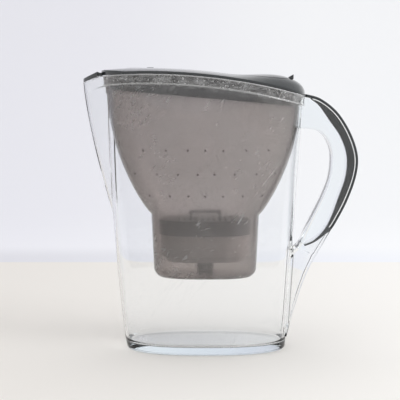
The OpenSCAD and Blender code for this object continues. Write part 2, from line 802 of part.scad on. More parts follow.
module spout_flap() {
    steps = 8;
    w = spout_w / 2 - 1;
    tip_x = top_front_x - spout_reach;
    root_x = spout_hinge_x + seat_gap;
    top_z = spout_hinge_z + spout_barrel_d / 2;
    notch_x = spout_hinge_x - spout_barrel_d / 2 - side_gap;
    notch_y = spout_barrel_l / 2;
    notch_w = spout_ear_t + 2 * side_gap;
    pins_l = spout_barrel_l + 2 * (side_gap + spout_pin_l);
    function rim_at(x) = bend_z(x, rim_h) - spout_dip * (top_front_x - x) / spout_reach + seat_gap;
    function beak_x(s) = top_front_x - spout_reach * (1 - pow(abs(s), beak_power));
    plan = [for (k = [-steps : steps]) [beak_x(k / steps), w * k / steps]];
    color([0.16, 0.17, 0.17])
    union() {
        difference() {
            intersection() {
                translate([0, 0, rim_h - flap_block]) linear_extrude(height = 2 * flap_block) polygon(plan);
                rotate([90, 0, 0]) linear_extrude(height = spout_w + 2 * over, center = true) polygon([
                    [tip_x - over, rim_at(tip_x - over)],
                    [root_x, rim_at(root_x)],
                    [root_x, top_z],
                    [tip_x - over, rim_at(tip_x) + spout_flap_t - 0.3]
                ]);
            }
            for (s = [-1, 1])
                translate([notch_x, s * (notch_y + notch_w / 2) - notch_w / 2, rim_h - flap_block])
                    cube([spout_reach, notch_w, 2 * flap_block]);
        }
        cross_bar(spout_hinge_x, spout_hinge_z, spout_barrel_d, spout_barrel_l, 0);
        cross_bar(spout_hinge_x, spout_hinge_z, spout_pin_d, pins_l, 0);
    }
}

// The change indicator, in its well, from the top plate down

case_wall = 1.4;
plate_t = 1.2;
window_l = 8;
window_w = 13;
window_off = 4;
button_off = 8.5;
window_x = indicator_x - window_off;
button_x = indicator_x + button_off;
frame_w = 1;
display_t = 1.2;
board_t = 1;
cell_d = 20;
cell_t = 3.2;
back_t = 1;
button_flange_t = 0.8;
button_gap = 0.2;
case_in_d = indicator_d - 2 * case_wall;
lens_flange_z = indicator_top_z - plate_t - 0.6;
display_z = lens_flange_z - fit_gap - display_t;
board_z = display_z - fit_gap - board_t;
cell_z = board_z - fit_gap - cell_t;
case_foot_z = indicator_top_z - indicator_h;
contact_t = 0.25;

module at_indicator(x, z) {
    translate([x, 0, z]) children();
}

module indicator_case() {
    color([0.14, 0.14, 0.15])
    difference() {
        at_indicator(indicator_x, case_foot_z) cylinder(d = indicator_d, h = indicator_h, $fn = 96);
        at_indicator(indicator_x, case_foot_z - over)
            cylinder(d = case_in_d, h = indicator_h - plate_t + over, $fn = 96);
        at_indicator(window_x, indicator_top_z) cube([window_l, window_w, 4 * plate_t], center = true);
        at_indicator(button_x, indicator_top_z - 2 * plate_t)
            cylinder(d = button_d, h = 4 * plate_t, $fn = 48);
    }
}

module indicator_back() {
    color([0.14, 0.14, 0.15])
    at_indicator(indicator_x, case_foot_z) difference() {
        cylinder(d = case_in_d - 2 * fit_gap, h = back_t, $fn = 96);
        translate([0, 0, -over]) cube([cell_d * 0.5, 1.6, (over + back_t / 2) * 2], center = true);
    }
}

module indicator_lens() {
    inner_l = window_l - 2 * fit_gap;
    inner_w = window_w - 2 * fit_gap;
    color([0.7, 0.75, 0.78, 0.4])
    union() {
        at_indicator(window_x - inner_l / 2, lens_flange_z + 0.3)
            translate([0, -inner_w / 2, 0]) cube([inner_l, inner_w, plate_t + 0.2]);
        at_indicator(window_x - window_l / 2 - frame_w, lens_flange_z)
            translate([0, -window_w / 2 - frame_w, 0])
                cube([window_l + 2 * frame_w, window_w + 2 * frame_w, 0.5]);
    }
}

module indicator_display() {
    color([0.62, 0.66, 0.58])
    at_indicator(window_x - window_l / 2, display_z)
        translate([0, -window_w / 2, 0]) cube([window_l, window_w, display_t]);
}

module indicator_board() {
    color([0.1, 0.35, 0.2])
    at_indicator(indicator_x, board_z) cylinder(d = case_in_d - 2 * fit_gap, h = board_t, $fn = 96);
}

module coin_cell() {
    color([0.75, 0.75, 0.76])
    at_indicator(indicator_x, cell_z) cylinder(d = cell_d, h = cell_t, $fn = 96);
}

module cell_contact() {
    foot_z = case_foot_z + back_t + 0.05;
    rise = cell_z - 0.05 - foot_z;
    color([0.8, 0.7, 0.35])
    rotate([90, 0, 0]) linear_extrude(height = 4, center = true) polygon([
        [indicator_x - 8, foot_z],
        [indicator_x + 8, foot_z],
        [indicator_x + 8, foot_z + contact_t],
        [indicator_x - 5, foot_z + contact_t],
        [indicator_x + 1, foot_z + rise],
        [indicator_x - 1, foot_z + rise],
        [indicator_x - 8, foot_z + contact_t]
    ]);
}

module start_button() {
    flange_z0 = indicator_top_z - plate_t - button_flange_t - 0.1;
    cap_h = indicator_top_z + button_travel + 0.2 - flange_z0;
    color([0.45, 0.47, 0.48])
    union() {
        at_indicator(button_x, flange_z0) cylinder(d = button_d - 2 * button_gap, h = cap_h, $fn = 48);
        at_indicator(button_x, flange_z0) cylinder(d = button_d + 1.2, h = button_flange_t, $fn = 48);
    }
}

jug_body();
handle_grip();
funnel();
cartridge_cup();
cartridge_cap();
outlet_seal();
top_screen();
filter_media();
bottom_screen();
lid_frame();
flip_lid();
spout_flap();
indicator_case();
indicator_back();
indicator_lens();
indicator_display();
indicator_board();
coin_cell();
cell_contact();
start_button();
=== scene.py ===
"""Looks of a water filter pitcher with a flip lid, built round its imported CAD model."""

import math

import bmesh
import bpy
import numpy as np
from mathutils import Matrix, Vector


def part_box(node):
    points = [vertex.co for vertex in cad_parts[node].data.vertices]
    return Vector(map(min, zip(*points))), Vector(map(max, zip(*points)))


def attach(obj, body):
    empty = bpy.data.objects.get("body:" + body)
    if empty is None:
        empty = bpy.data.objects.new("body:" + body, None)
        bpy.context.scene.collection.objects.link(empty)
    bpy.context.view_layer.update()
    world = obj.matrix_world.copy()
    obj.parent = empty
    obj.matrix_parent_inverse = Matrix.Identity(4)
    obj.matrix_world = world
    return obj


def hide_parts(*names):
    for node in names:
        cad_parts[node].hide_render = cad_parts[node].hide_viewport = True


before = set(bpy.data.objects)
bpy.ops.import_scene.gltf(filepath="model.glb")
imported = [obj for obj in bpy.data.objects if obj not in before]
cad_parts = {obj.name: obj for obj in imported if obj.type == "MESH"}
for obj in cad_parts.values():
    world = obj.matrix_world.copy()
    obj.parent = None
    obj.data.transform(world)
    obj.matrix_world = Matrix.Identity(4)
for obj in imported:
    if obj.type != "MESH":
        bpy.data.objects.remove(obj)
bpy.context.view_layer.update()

bl_info = {
    "name": "Water filter pitcher",
    "version": (1, 0, 0),
    "blender": (4, 5, 0),
    "location": "3D View > Sidebar > Pitcher",
    "description": "Builds the visible surfaces of a water filter pitcher with a flip lid",
    "category": "Object",
}


def linear(colour):
    """An sRGB hex colour as the linear values that shaders take."""
    parts = [int(colour[i : i + 2], 16) / 255 for i in (0, 2, 4)]
    return tuple(p / 12.92 if p <= 0.04045 else ((p + 0.055) / 1.055) ** 2.4 for p in parts)


# Sizes, in millimetres, as the CAD model has them

SEAT_GAP, NEST_GAP, PIN_PLAY = 0.3, 0.5, 0.1
# How far a cutter runs past what it cuts, and a step too small to see
OVER, HAIR = 1.0, 0.02
BASE_FRONT_X, BASE_BACK_X, BASE_W = -89.0, 62.5, 82.0
TOP_FRONT_X, TOP_BACK_X, TOP_W = -111.0, 78.5, 101.0
FRONT_BOW, BACK_BOW, WIDTH_BOW = 0.7, 0.9, 0.8
RIM_H, BAND_H, BAND_PROUD, LEDGE_W = 261.5, 9.5, 1.6, 1.5
RIM_ROUND = 0.7
LEDGE_Z = RIM_H - BAND_H
JUG_WALL, JUG_FLOOR, FLOOR_ROUND, FOOT = 2.4, 7.0, 5.0, 3.0
OVAL_POWER, BEAK_POWER, INSET_POWER = 2.5, 1.4, 4
SPOUT_REACH, SPOUT_W, SPOUT_FOOT_W, SPOUT_FOOT_Z, SPOUT_DIP = 19.0, 48.0, 14.0, 128.0, 4.5
KEEL_BOW = 1.6
CREST_X, RIM_ARC_R, BEND_POWER = -71.0, 570.0, 3
FUNNEL_WALL, NECK_Z, CHAMBER_Z, CHAMBER_X = 1.8, 130.0, 69.0, -14.4
CHAMBER_L, CHAMBER_W, CHAMBER_TAPER, CHAMBER_ROUND, CHAMBER_POWER = 102.6, 66.0, 5.5, 9.0, 2.8
STUB_D, STUB_BORE, STUB_H, HOPPER_POWER = 16.0, 9.0, 19.0, 0.83
HOPPER_IN = JUG_WALL + NEST_GAP + SEAT_GAP
FLANGE_IN = JUG_WALL - LEDGE_W + NEST_GAP
HANDLE_W, FLANGE_T, GRIP_LIP, GRIP_GAP, LIP_GAP = 26.0, 2.2, 2.4, 0.2, 0.12
CHANNEL_W, CHANNEL_REACH = HANDLE_W - 2 * FLANGE_T, 24.0
GRIP_W = CHANNEL_W - 2 * GRIP_GAP
FIN_TOP_Z, FIN_FOOT_Z, FIN_STEP, FIN_REACH, FIN_FALL, TAIL_WEB = 98, 2, 12, 40.0, 16.0, 1.2
LID_WALL, LID_RISE, LID_EDGE_H, DOME_POWER, END_POWER = 2.2, 6.2, 2.4, 3.5, 12
HUMP_RISE, HUMP_START_X, HUMP_END_X = 8.0, 5.0, 62.0
FRONT_EDGE_RISE, FRONT_EDGE_X, FRONT_EDGE_RUN = 2.6, -88.0, 20.0
SKIRT_H, SKIRT_T, SKIRT_RISE, SKIRT_TAPER = 19.5, 1.8, 7.5, 1.0
OPENING_FRONT_X, OPENING_BACK_X, OPENING_W, OPENING_POWER = -42.0, 67.0, 72.0, 3.0
THROAT_H, THROAT_WALL = 8.0, 1.5
BARREL_D, BARREL_L, NOTCH_GAP, SIDE_GAP, EAR_T, EAR_LOW = 6.0, 32.0, 0.4, 0.4, 4.5, 0.8
PIN_D, PIN_L = 2.4, 3.8
HINGE_X = OPENING_FRONT_X + BARREL_D / 2 + NOTCH_GAP
MAIN_FRONT_X = HINGE_X + BARREL_D / 2 + NOTCH_GAP
FLAP_T, FLAP_GAP, TONGUE_L, TAB_H, TAB_W = 1.8, 0.5, 6.0, 5.0, 22.0
REST_L, REST_HALF_W, REST_T = 3.0, 10.0, 2.0
SPOUT_FLAP_T, SPOUT_EAR_T, SPOUT_ARM_L, SPOUT_ARM_SHARE = 3.4, 3.0, 4.5, 0.8
SPOUT_BARREL_L, SPOUT_BARREL_D, SPOUT_PIN_D, SPOUT_PIN_L = 20.0, 3.8, 1.8, 2.4
SPOUT_HINGE_OUT = 2.7
INDICATOR_X, INDICATOR_D, INDICATOR_H = -75.0, 30.0, 9.6
WELL_WALL, WELL_FLOOR, WELL_SEAT = 1.6, 1.6, 3.0

# Points on half of the spout, round the rest of the jug, and on a plain oval or circle
BEAK_HALF, BODY_POINTS, OVAL_POINTS, FLAP_POINTS, BAR_POINTS, DISC_POINTS = 12, 151, 160, 192, 64, 128

# Side views of the handle: pairs of points on its outer and finger sides, along X and Z

HANDLE_PAIRS = [
    ((73.5, 243.5), (73.5, 211)),
    ((94, 239), (87, 210)),
    ((109, 227.5), (96, 206)),
    ((120.5, 211), (102, 198)),
    ((128, 193), (105, 189)),
    ((130, 178), (105.5, 177)),
    ((127, 161), (103.3, 162)),
    ((120, 142), (98, 147.5)),
    ((112.5, 127), (92, 135)),
    ((105.5, 115.5), (86.5, 124)),
]
TAIL_PAIRS = [
    ((105.5, 115.5), (86.5, 124)),
    ((99.5, 105), (80.5, 112)),
    ((93, 93.5), (74, 99.5)),
    ((86, 81), (66, 90)),
    ((79, 65), (64, 68)),
    ((73, 47), (62.5, 50)),
    ((68, 30), (61.5, 32)),
    ((63.5, 12), (60.5, 12)),
]
# The grip: its outer side and its deep side. Its lip covers the first ten pairs, and its foot is
# a little slimmer than the CAD model's, so that its end fades out as the moulded one does
LIP_PAIRS = 10
GRIP_PAIRS = [
    ((81, 243), (82, 240)),
    ((94, 239), (92, 233)),
    ((109, 227.5), (102.5, 218.5)),
    ((120.5, 211), (112, 205)),
    ((128, 193), (118, 190.5)),
    ((130, 178), (119.5, 177.5)),
    ((127, 161), (117.5, 162.5)),
    ((120, 142), (111.5, 145)),
    ((112.5, 127), (106.4, 130.5)),
    ((105.5, 115.5), (101, 118.7)),
    ((97.5, 108.5), (95.2, 110.6)),
    ((89, 102.5), (87.8, 103.9)),
    ((80.5, 99), (79.6, 100.4)),
]


# Shapes, by the rules that the CAD model follows


def lerp(a, b, t):
    return a + (b - a) * t


def part01(t):
    return min(1.0, max(0.0, t))


def smooth01(t):
    u = part01(t)
    return u * u * (3 - 2 * u)


def signed_pow(v, p):
    return math.copysign(abs(v) ** p, v)


def front_x(z):
    return lerp(BASE_FRONT_X, TOP_FRONT_X, part01(z / RIM_H) ** FRONT_BOW)


def back_x(z):
    return lerp(BASE_BACK_X, TOP_BACK_X, part01(z / RIM_H) ** BACK_BOW)


def half_w(z):
    return lerp(BASE_W, TOP_W, part01(z / RIM_H) ** WIDTH_BOW) / 2


def mid_x(z):
    return (front_x(z) + back_x(z)) / 2


def half_l(z):
    return (back_x(z) - front_x(z)) / 2


def rim_drop(x):
    """How far the bent rim lies below its crest."""
    return RIM_ARC_R - math.sqrt(RIM_ARC_R**2 - (x - CREST_X) ** 2)


def bend_share(z):
    return part01(z / LEDGE_Z) ** BEND_POWER


def bend_z(x, z):
    """A level height as it lies under the rim's arc."""
    return z - rim_drop(x) * bend_share(z)


def keel_share(z):
    return part01((z - SPOUT_FOOT_Z) / (RIM_H - SPOUT_FOOT_Z))


def quarter(count):
    """Angles, in radians, that part a quarter round into equal steps."""
    return [math.radians(90 * k / (count - 1)) for k in range(count)]


def oval_x(y, a, b):
    """Half the length of an oval at a distance y from its long axis."""
    return a * max(0.0, 1 - (abs(y) / b) ** OVAL_POWER) ** (1 / OVAL_POWER)


def jug_ring(z, body_in, beak_in):
    """One ring of the jug at a level height, drawn in by an inset round the body and one at the spout."""
    cx, a, b, share = mid_x(z), half_l(z), half_w(z), keel_share(z)
    w = lerp(SPOUT_FOOT_W, SPOUT_W, share) / 2 - beak_in / 2
    reach = SPOUT_REACH * (1 - (1 - share) ** KEEL_BOW)
    points = []
    for j in range(BEAK_HALF, -BEAK_HALF - 1, -1):
        s = j / BEAK_HALF
        y, out = w * s, 1 - abs(s) ** BEAK_POWER
        inset = lerp(beak_in, body_in, abs(s) ** INSET_POWER)
        x = cx - oval_x(y, a - inset, b - inset) - reach * out
        points.append((x, y, bend_z(x, z) - SPOUT_DIP * out * share * bend_share(z)))
    start = math.degrees(math.asin((w / (b - body_in)) ** (OVAL_POWER / 2)))
    for i in range(1, BODY_POINTS + 1):
        q = math.radians(lerp(start, 360 - start, i / (BODY_POINTS + 1)))
        x = cx - (a - body_in) * signed_pow(math.cos(q), 2 / OVAL_POWER)
        y = -(b - body_in) * signed_pow(math.sin(q), 2 / OVAL_POWER)
        points.append((x, y, bend_z(x, z)))
    return points


def oval(cx, a, b, power, z, count=OVAL_POINTS):
    """A closed ring on an oval, with its own middle, half sizes and squareness."""
    points = []
    for i in range(count):
        q = math.tau * i / count
        x = cx - a * signed_pow(math.cos(q), 2 / power)
        points.append((x, -b * signed_pow(math.sin(q), 2 / power), z))
    return points


def bent(points):
    """Points laid out level, bent to the rim's arc."""
    return [(x, y, bend_z(x, z)) for x, y, z in points]


def rim_oval(z, inset):
    return bent(oval(mid_x(z), half_l(z) - inset, half_w(z) - inset, OVAL_POWER, z))


def smooth_pairs(pairs, steps):
    """The side-view pairs of the handle with a smooth curve run through them."""
    p = np.array(pairs, float)
    last, out = len(p) - 1, []
    for i in range(last):
        a, b, c, d = p[max(0, i - 1)], p[i], p[i + 1], p[min(last, i + 2)]
        bend, twist = 2 * a - 5 * b + 4 * c - d, 3 * b - a - 3 * c + d
        for k in range(steps):
            t = k / steps
            out.append((2 * b + (c - a) * t + bend * t**2 + twist * t**3) / 2)
    return [*out, p[last]]


def section_rings(pairs, outline, outer_cut=0.0, inner_cut=0.0):
    """Rings across the handle. outline(depth) gives (depth, width) points from its finger side outwards."""
    rings = []
    for outer, inner in pairs:
        way = (outer - inner) / np.linalg.norm(outer - inner)
        a, b = inner + way * inner_cut, outer - way * outer_cut
        depth = float(np.linalg.norm(b - a))
        rings.append([(a[0] + way[0] * t, y, a[1] + way[1] * t) for t, y in outline(depth)])
    return rings


def rounded(w, inner_r, outer_r, turns=6):
    """Outline of a bar w wide with its corners rounded by their own radii."""

    def outline(depth):
        points = []
        corners = [(0, -1, inner_r), (1, -1, outer_r), (1, 1, outer_r), (0, 1, inner_r)]
        for n, (far, side, radius) in enumerate(corners):
            r = max(1e-3, min(radius, depth * 0.48, w * 0.48))
            ct = depth - r if far else r
            cy = side * (w / 2 - r)
            for k in range(turns + 1):
                q = math.radians(180 + 90 * n + 90 * k / turns)
                points.append((ct + r * math.cos(q), cy + r * math.sin(q)))
        return points

    return outline


# Meshes


def mesh_object(name, verts, faces):
    """A closed mesh object from points in millimetres, its faces turned outwards."""
    mesh = bpy.data.meshes.new(name)
    mesh.from_pydata([tuple(0.001 * c for c in v) for v in verts], [], faces)
    ob = bpy.data.objects.new(name, mesh)
    bpy.context.scene.collection.objects.link(ob)
    bm = bmesh.new()
    bm.from_mesh(mesh)
    if bm.calc_volume(signed=True) < 0:
        bmesh.ops.reverse_faces(bm, faces=bm.faces)
    bm.to_mesh(mesh)
    bm.free()
    return ob


def skin(name, rings, looped=False):
    """A skin over rings: closed by flat ends, or with its last ring joined to the first."""
    n, m = len(rings[0]), len(rings)
    verts = [v for ring in rings for v in ring]
    faces = []
    for k in range(m if looped else m - 1):
        a, b = k * n, ((k + 1) % m) * n
        faces += [(a + i, b + i, b + (i + 1) % n, a + (i + 1) % n) for i in range(n)]
    if not looped:
        faces += [tuple(range(n)), tuple(reversed(range((m - 1) * n, m * n)))]
    return mesh_object(name, verts, faces)


def block(name, low, high):
    """A box between two corners."""
    x0, y0, z0 = low
    x1, y1, z1 = high
    ring = [(x0, y0), (x1, y0), (x1, y1), (x0, y1)]
    return skin(name, [[(x, y, z) for x, y in ring] for z in (z0, z1)])


def prism(name, side, w):
    """A side-view outline drawn w wide across the middle."""
    return skin(name, [[(x, y, z) for x, z in side] for y in (-w / 2, w / 2)])


def circle(u, v, d, count):
    turns = [math.tau * i / count for i in range(count)]
    return [(u + d / 2 * math.cos(q), v + d / 2 * math.sin(q)) for q in turns]


def bar_y(name, x, z, d, y0, y1):
    """A round bar across the pitcher."""
    return skin(name, [[(cx, y, cz) for cx, cz in circle(x, z, d, BAR_POINTS)] for y in (y0, y1)])


def disc(name, x, y, z0, z1, d):
    """An upright round bar."""
    return skin(name, [[(cx, cy, z) for cx, cy in circle(x, y, d, DISC_POINTS)] for z in (z0, z1)])


def mesh_from_points(name, places):
    """An object of loose points in millimetres, for a tree to build on."""
    mesh = bpy.data.meshes.new(name)
    mesh.from_pydata([tuple(0.001 * c for c in p) for p in places], [], [])
    ob = bpy.data.objects.new(name, mesh)
    bpy.context.scene.collection.objects.link(ob)
    return ob


def settle(ob):
    """Turns an object's modifiers into its mesh."""
    graph = bpy.context.evaluated_depsgraph_get()
    graph.update()
    mesh = bpy.data.meshes.new_from_object(ob.evaluated_get(graph))
    old = ob.data
    ob.modifiers.clear()
    ob.data = mesh
    bpy.data.meshes.remove(old)
    return ob


def drop(ob):
    """Deletes an object and its mesh."""
    mesh = ob.data
    bpy.data.objects.remove(ob)
    bpy.data.meshes.remove(mesh)


def combine(ob, operation, others):
    """Adds, cuts or crosses closed solids with the exact solver, one after another."""
    for other in others:
        m = ob.modifiers.new(operation, "BOOLEAN")
        m.operation, m.solver, m.object = operation, "EXACT", other
        settle(ob)
        drop(other)
    return ob


def rounded_edges(ob, width):
    """Small rounds on the sharp edges, as a mould leaves them."""
    m = ob.modifiers.new("Edges", "BEVEL")
    m.width, m.segments, m.limit_method = width * 0.001, 3, "ANGLE"
    m.angle_limit, m.harden_normals, m.use_clamp_overlap = math.radians(35), False, True
    return settle(ob)


def shade(ob, angle):
    """Smooth faces, with edges sharper than the angle kept."""
    mesh = ob.data
    mesh.polygons.foreach_set("use_smooth", [True] * len(mesh.polygons))
    mesh.set_sharp_from_angle(angle=math.radians(angle))


def node_copy(node, name):
    """A merged copy of a CAD node's mesh, with its flat faces whole."""
    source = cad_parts[node]
    mesh = source.data.copy()
    mesh.materials.clear()
    bm = bmesh.new()
    bm.from_mesh(mesh)
    bmesh.ops.remove_doubles(bm, verts=bm.verts, dist=2e-6)
    bmesh.ops.dissolve_limit(bm, angle_limit=math.radians(0.5), verts=bm.verts, edges=bm.edges)
    bm.to_mesh(mesh)
    bm.free()
    mesh.name = name
    ob = bpy.data.objects.new(name, mesh)
    bpy.context.scene.collection.objects.link(ob)
    return ob


def finish_piece(ob, body, nodes, material, angle=32.0):
    """Gives a piece its shading, material and body, and hides the CAD nodes that it stands for."""
    shade(ob, angle)
    ob.data.materials.clear()
    ob.data.materials.append(material)
    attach(ob, body)
    if nodes:
        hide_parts(*nodes)
    return ob


# Materials


def add(tree, kind, inputs=None, **settings):
    """Adds a node. An input is a value, a socket, or a node whose first output feeds it."""
    node = tree.nodes.new(kind)
    for key, value in settings.items():
        setattr(node, key, value)
    for key, value in (inputs or {}).items():
        if isinstance(value, bpy.types.Node):
            value = value.outputs[0]
        if isinstance(value, bpy.types.NodeSocket):
            tree.links.new(value, node.inputs[key])
        else:
            node.inputs[key].default_value = value
    return node


def new_material(name):
    """A material with an empty tree."""
    material = bpy.data.materials.new(name)
    material.use_nodes = True
    material.node_tree.nodes.clear()
    return material, material.node_tree


def spots(
    tree, place, scale, low, high, detail=3.0, strength=1.0, stretch=(1, 1, 1), turn=(0, 0, 0), seed=0.0
):
    """A noise mask between two levels. The scale is spots for each metre: 400 gives spots 2.5 mm apart.

    A stretch below 1 lengthens the spots along that axis, which is then turned.
    """
    moved = add(
        tree,
        "ShaderNodeMapping",
        {"Vector": place, "Scale": tuple(1 / k for k in stretch), "Rotation": turn, "Location": (seed,) * 3},
        vector_type="TEXTURE",
    )
    noise = add(
        tree, "ShaderNodeTexNoise", {"Vector": moved, "Scale": scale, "Detail": detail, "Roughness": 0.55}
    )
    return add(
        tree, "ShaderNodeMapRange", {"Value": noise, "From Min": low, "From Max": high, "To Max": strength}
    )


def level_height(tree, place):
    """Height above the bent level lines of the rim, so that a mark follows the rim's arc."""
    radius = RIM_ARC_R * 0.001
    axes = add(tree, "ShaderNodeSeparateXYZ", {0: place}).outputs
    off = add(tree, "ShaderNodeMath", {0: axes[0], 1: -CREST_X * 0.001}, operation="ADD")
    square = add(tree, "ShaderNodeMath", {0: off, 1: off}, operation="MULTIPLY")
    inside = add(tree, "ShaderNodeMath", {0: radius**2, 1: square}, operation="SUBTRACT")
    root = add(tree, "ShaderNodeMath", {0: inside, 1: 0.5}, operation="POWER")
    low = add(tree, "ShaderNodeMath", {0: axes[2], 1: root}, operation="SUBTRACT")
    return add(tree, "ShaderNodeMath", {0: low, 1: radius}, operation="ADD")


def near(tree, value, middle, half, strength=1.0):
    """A mask that is strongest at one value and falls to 0 on both sides."""
    off = add(tree, "ShaderNodeMath", {0: value, 1: -middle}, operation="ADD")
    size = add(tree, "ShaderNodeMath", {0: off}, operation="ABSOLUTE")
    return add(
        tree, "ShaderNodeMapRange", {"Value": size, "From Min": half, "From Max": 0.0, "To Max": strength}
    )


def rubbed_rim_and_edge_highlights(tree, place, rub):
    """Where lid and hands rub the rim's band: small flecks and a faint haze, and painted highlights as bright
    lines along the band's top and bottom edges.

    The mask ends at the body, so that the handle stays clear.
    """
    height = level_height(tree, place)
    along = add(tree, "ShaderNodeSeparateXYZ", {0: place}).outputs[0]
    off = add(tree, "ShaderNodeMath", {0: along, 1: -0.001 * (mid_x(RIM_H) + 1)}, operation="ADD")
    off = add(tree, "ShaderNodeMath", {0: off}, operation="ABSOLUTE")
    reach = half_l(RIM_H) * 0.001
    ends = {"Value": off, "From Min": reach + 0.001, "From Max": reach - 0.003}
    body = add(tree, "ShaderNodeMapRange", ends)
    flecks = spots(tree, place, 480, 0.6, 0.68, 3.0, 0.9, seed=6.0)
    clouds = spots(tree, place, 110, 0.42, 0.68, 4.0, 0.3, (1, 1, 1.6), seed=3.0)
    worn = add(tree, "ShaderNodeMath", {0: flecks, 1: clouds}, operation="MAXIMUM")
    band = near(tree, height, (RIM_H - BAND_H / 2) * 0.001, 0.011, rub)
    worn = add(tree, "ShaderNodeMath", {0: worn, 1: band}, operation="MULTIPLY")
    # Painted highlights: whitened lines along the band's top edge and just above the ledge
    for level, half, strength in ((RIM_H - 0.4, 0.0012, 0.75), (LEDGE_Z + 0.6, 0.0014, 0.5)):
        edge = near(tree, height, level * 0.001, half, strength)
        worn = add(tree, "ShaderNodeMath", {0: worn, 1: edge}, operation="MAXIMUM")
    return add(tree, "ShaderNodeMath", {0: worn, 1: body}, operation="MULTIPLY")


def clear_material(name, tint, haze, shadow, absorb=None, ior=1.57, rub=0.0, scratch=0.35, bloom=0.0):
    """A clear plastic, injection moulded: glass-like and hard, with fine scratches and rubbed places.

    absorb is how much of each colour the plastic takes up, for each metre of its thickness. rub,
    scratch and bloom are how strong the worn rim, the hairlines and the water's cloudy film are.
    """
    material, tree = new_material(name)
    place = add(tree, "ShaderNodeTexCoord").outputs["Object"]
    # Hairlines up to 2 cm long at two slants, drawn some tenths of a millimetre wide so that they show
    first = spots(tree, place, 420, 0.66, 0.7, 1.0, 1.0, (1, 1, 0.12), (0.0, 0.65, 0.2), 1.3)
    second = spots(tree, place, 480, 0.7, 0.74, 1.0, 1.0, (1, 1, 0.1), (0.1, 1.3, 0.0), 4.1)
    lines = add(tree, "ShaderNodeMath", {0: first, 1: second}, operation="MAXIMUM")
    patches = spots(tree, place, 24, 0.46, 0.62, 2.0, scratch, seed=2.2)
    marks = add(tree, "ShaderNodeMath", {0: lines, 1: patches}, operation="MULTIPLY")
    if bloom:
        # A cloudy film that water leaves behind, in clouds about 4 cm wide
        film = spots(tree, place, 26, 0.38, 0.72, 4.0, bloom, seed=8.0)
        marks = add(tree, "ShaderNodeMath", {0: marks, 1: film}, operation="MAXIMUM")
    # The worn rim, and the painted highlights along its band's edges
    if rub:
        marks = add(tree, "ShaderNodeMath", {0: marks, 1: rubbed_rim_and_edge_highlights(tree, place, rub)}, operation="MAXIMUM")
    gloss = add(tree, "ShaderNodeMapRange", {"Value": marks, "To Min": haze, "To Max": 0.55})
    through = add(tree, "ShaderNodeMapRange", {"Value": marks, "To Min": 1.0, "To Max": 0.35})
    shader = add(
        tree,
        "ShaderNodeBsdfPrincipled",
        {"Base Color": (*tint, 1), "IOR": ior, "Roughness": gloss, "Transmission Weight": through},
    )
    # Lamps reach what stands behind the clear wall
    path = add(tree, "ShaderNodeLightPath")
    lit = add(tree, "ShaderNodeBsdfTransparent", {"Color": (*shadow, 1)})
    mix = add(tree, "ShaderNodeMixShader", {0: path.outputs["Is Shadow Ray"], 1: shader, 2: lit})
    out = add(tree, "ShaderNodeOutputMaterial", {"Surface": mix})
    if absorb:
        # The node takes a colour and a density; the most absorbed colour is all but black in it
        density = max(absorb) * 1.25
        colour = [1 - a / density for a in absorb]
        volume = add(tree, "ShaderNodeVolumeAbsorption", {"Color": (*colour, 1), "Density": density})
        tree.links.new(volume.outputs[0], out.inputs["Volume"])
    return material


def moulded_material(name, colour, roughness, grain_mm, grain_depth, smudge=0.08, coat=0.0, wear=None):
    """An opaque moulded plastic or rubber: even colour, the mould's fine grain and faint smudges.

    The grain has its spacing and its depth in millimetres. wear is a second colour, in clouds.
    """
    material, tree = new_material(name)
    place = add(tree, "ShaderNodeTexCoord").outputs["Object"]
    cloud = spots(tree, place, 38, 0.35, 0.7, seed=1.0)
    gloss = add(
        tree, "ShaderNodeMapRange", {"Value": cloud, "To Min": roughness, "To Max": roughness + smudge}
    )
    grain = add(tree, "ShaderNodeTexNoise", {"Vector": place, "Scale": 1000 / grain_mm, "Detail": 2.0})
    bump = add(tree, "ShaderNodeBump", {"Height": grain, "Strength": 0.35, "Distance": grain_depth * 0.001})
    # Without a colour of its own, worn plastic is a fifth lighter
    worn = wear or tuple(min(1.0, c * 1.18 + 0.003) for c in colour)
    clouds = spots(tree, place, 60, 0.4, 0.75, 4.0, seed=5.0)
    tint = add(tree, "ShaderNodeMix", {0: clouds, 6: (*colour, 1), 7: (*worn, 1)}, data_type="RGBA")
    shader = add(
        tree,
        "ShaderNodeBsdfPrincipled",
        {
            "Base Color": tint.outputs[2],
            "Roughness": gloss,
            "IOR": 1.5,
            "Coat Weight": coat,
            "Coat Roughness": 0.06,
            "Normal": bump,
        },
    )
    add(tree, "ShaderNodeOutputMaterial", {"Surface": shader})
    return material


def metal_material(name, colour, roughness, brushed_mm):
    """A bare metal with fine brushed lines along X, brushed_mm apart."""
    material, tree = new_material(name)
    place = add(tree, "ShaderNodeTexCoord").outputs["Object"]
    lines = spots(tree, place, 1000 / brushed_mm, 0.3, 0.7, 2.0, stretch=(0.03, 1, 1))
    gloss = add(
        tree, "ShaderNodeMapRange", {"Value": lines, "To Min": roughness, "To Max": roughness + 0.15}
    )
    shader = add(
        tree, "ShaderNodeBsdfPrincipled", {"Base Color": (*colour, 1), "Metallic": 1.0, "Roughness": gloss}
    )
    add(tree, "ShaderNodeOutputMaterial", {"Surface": shader})
    return material


# Settings that a user would change


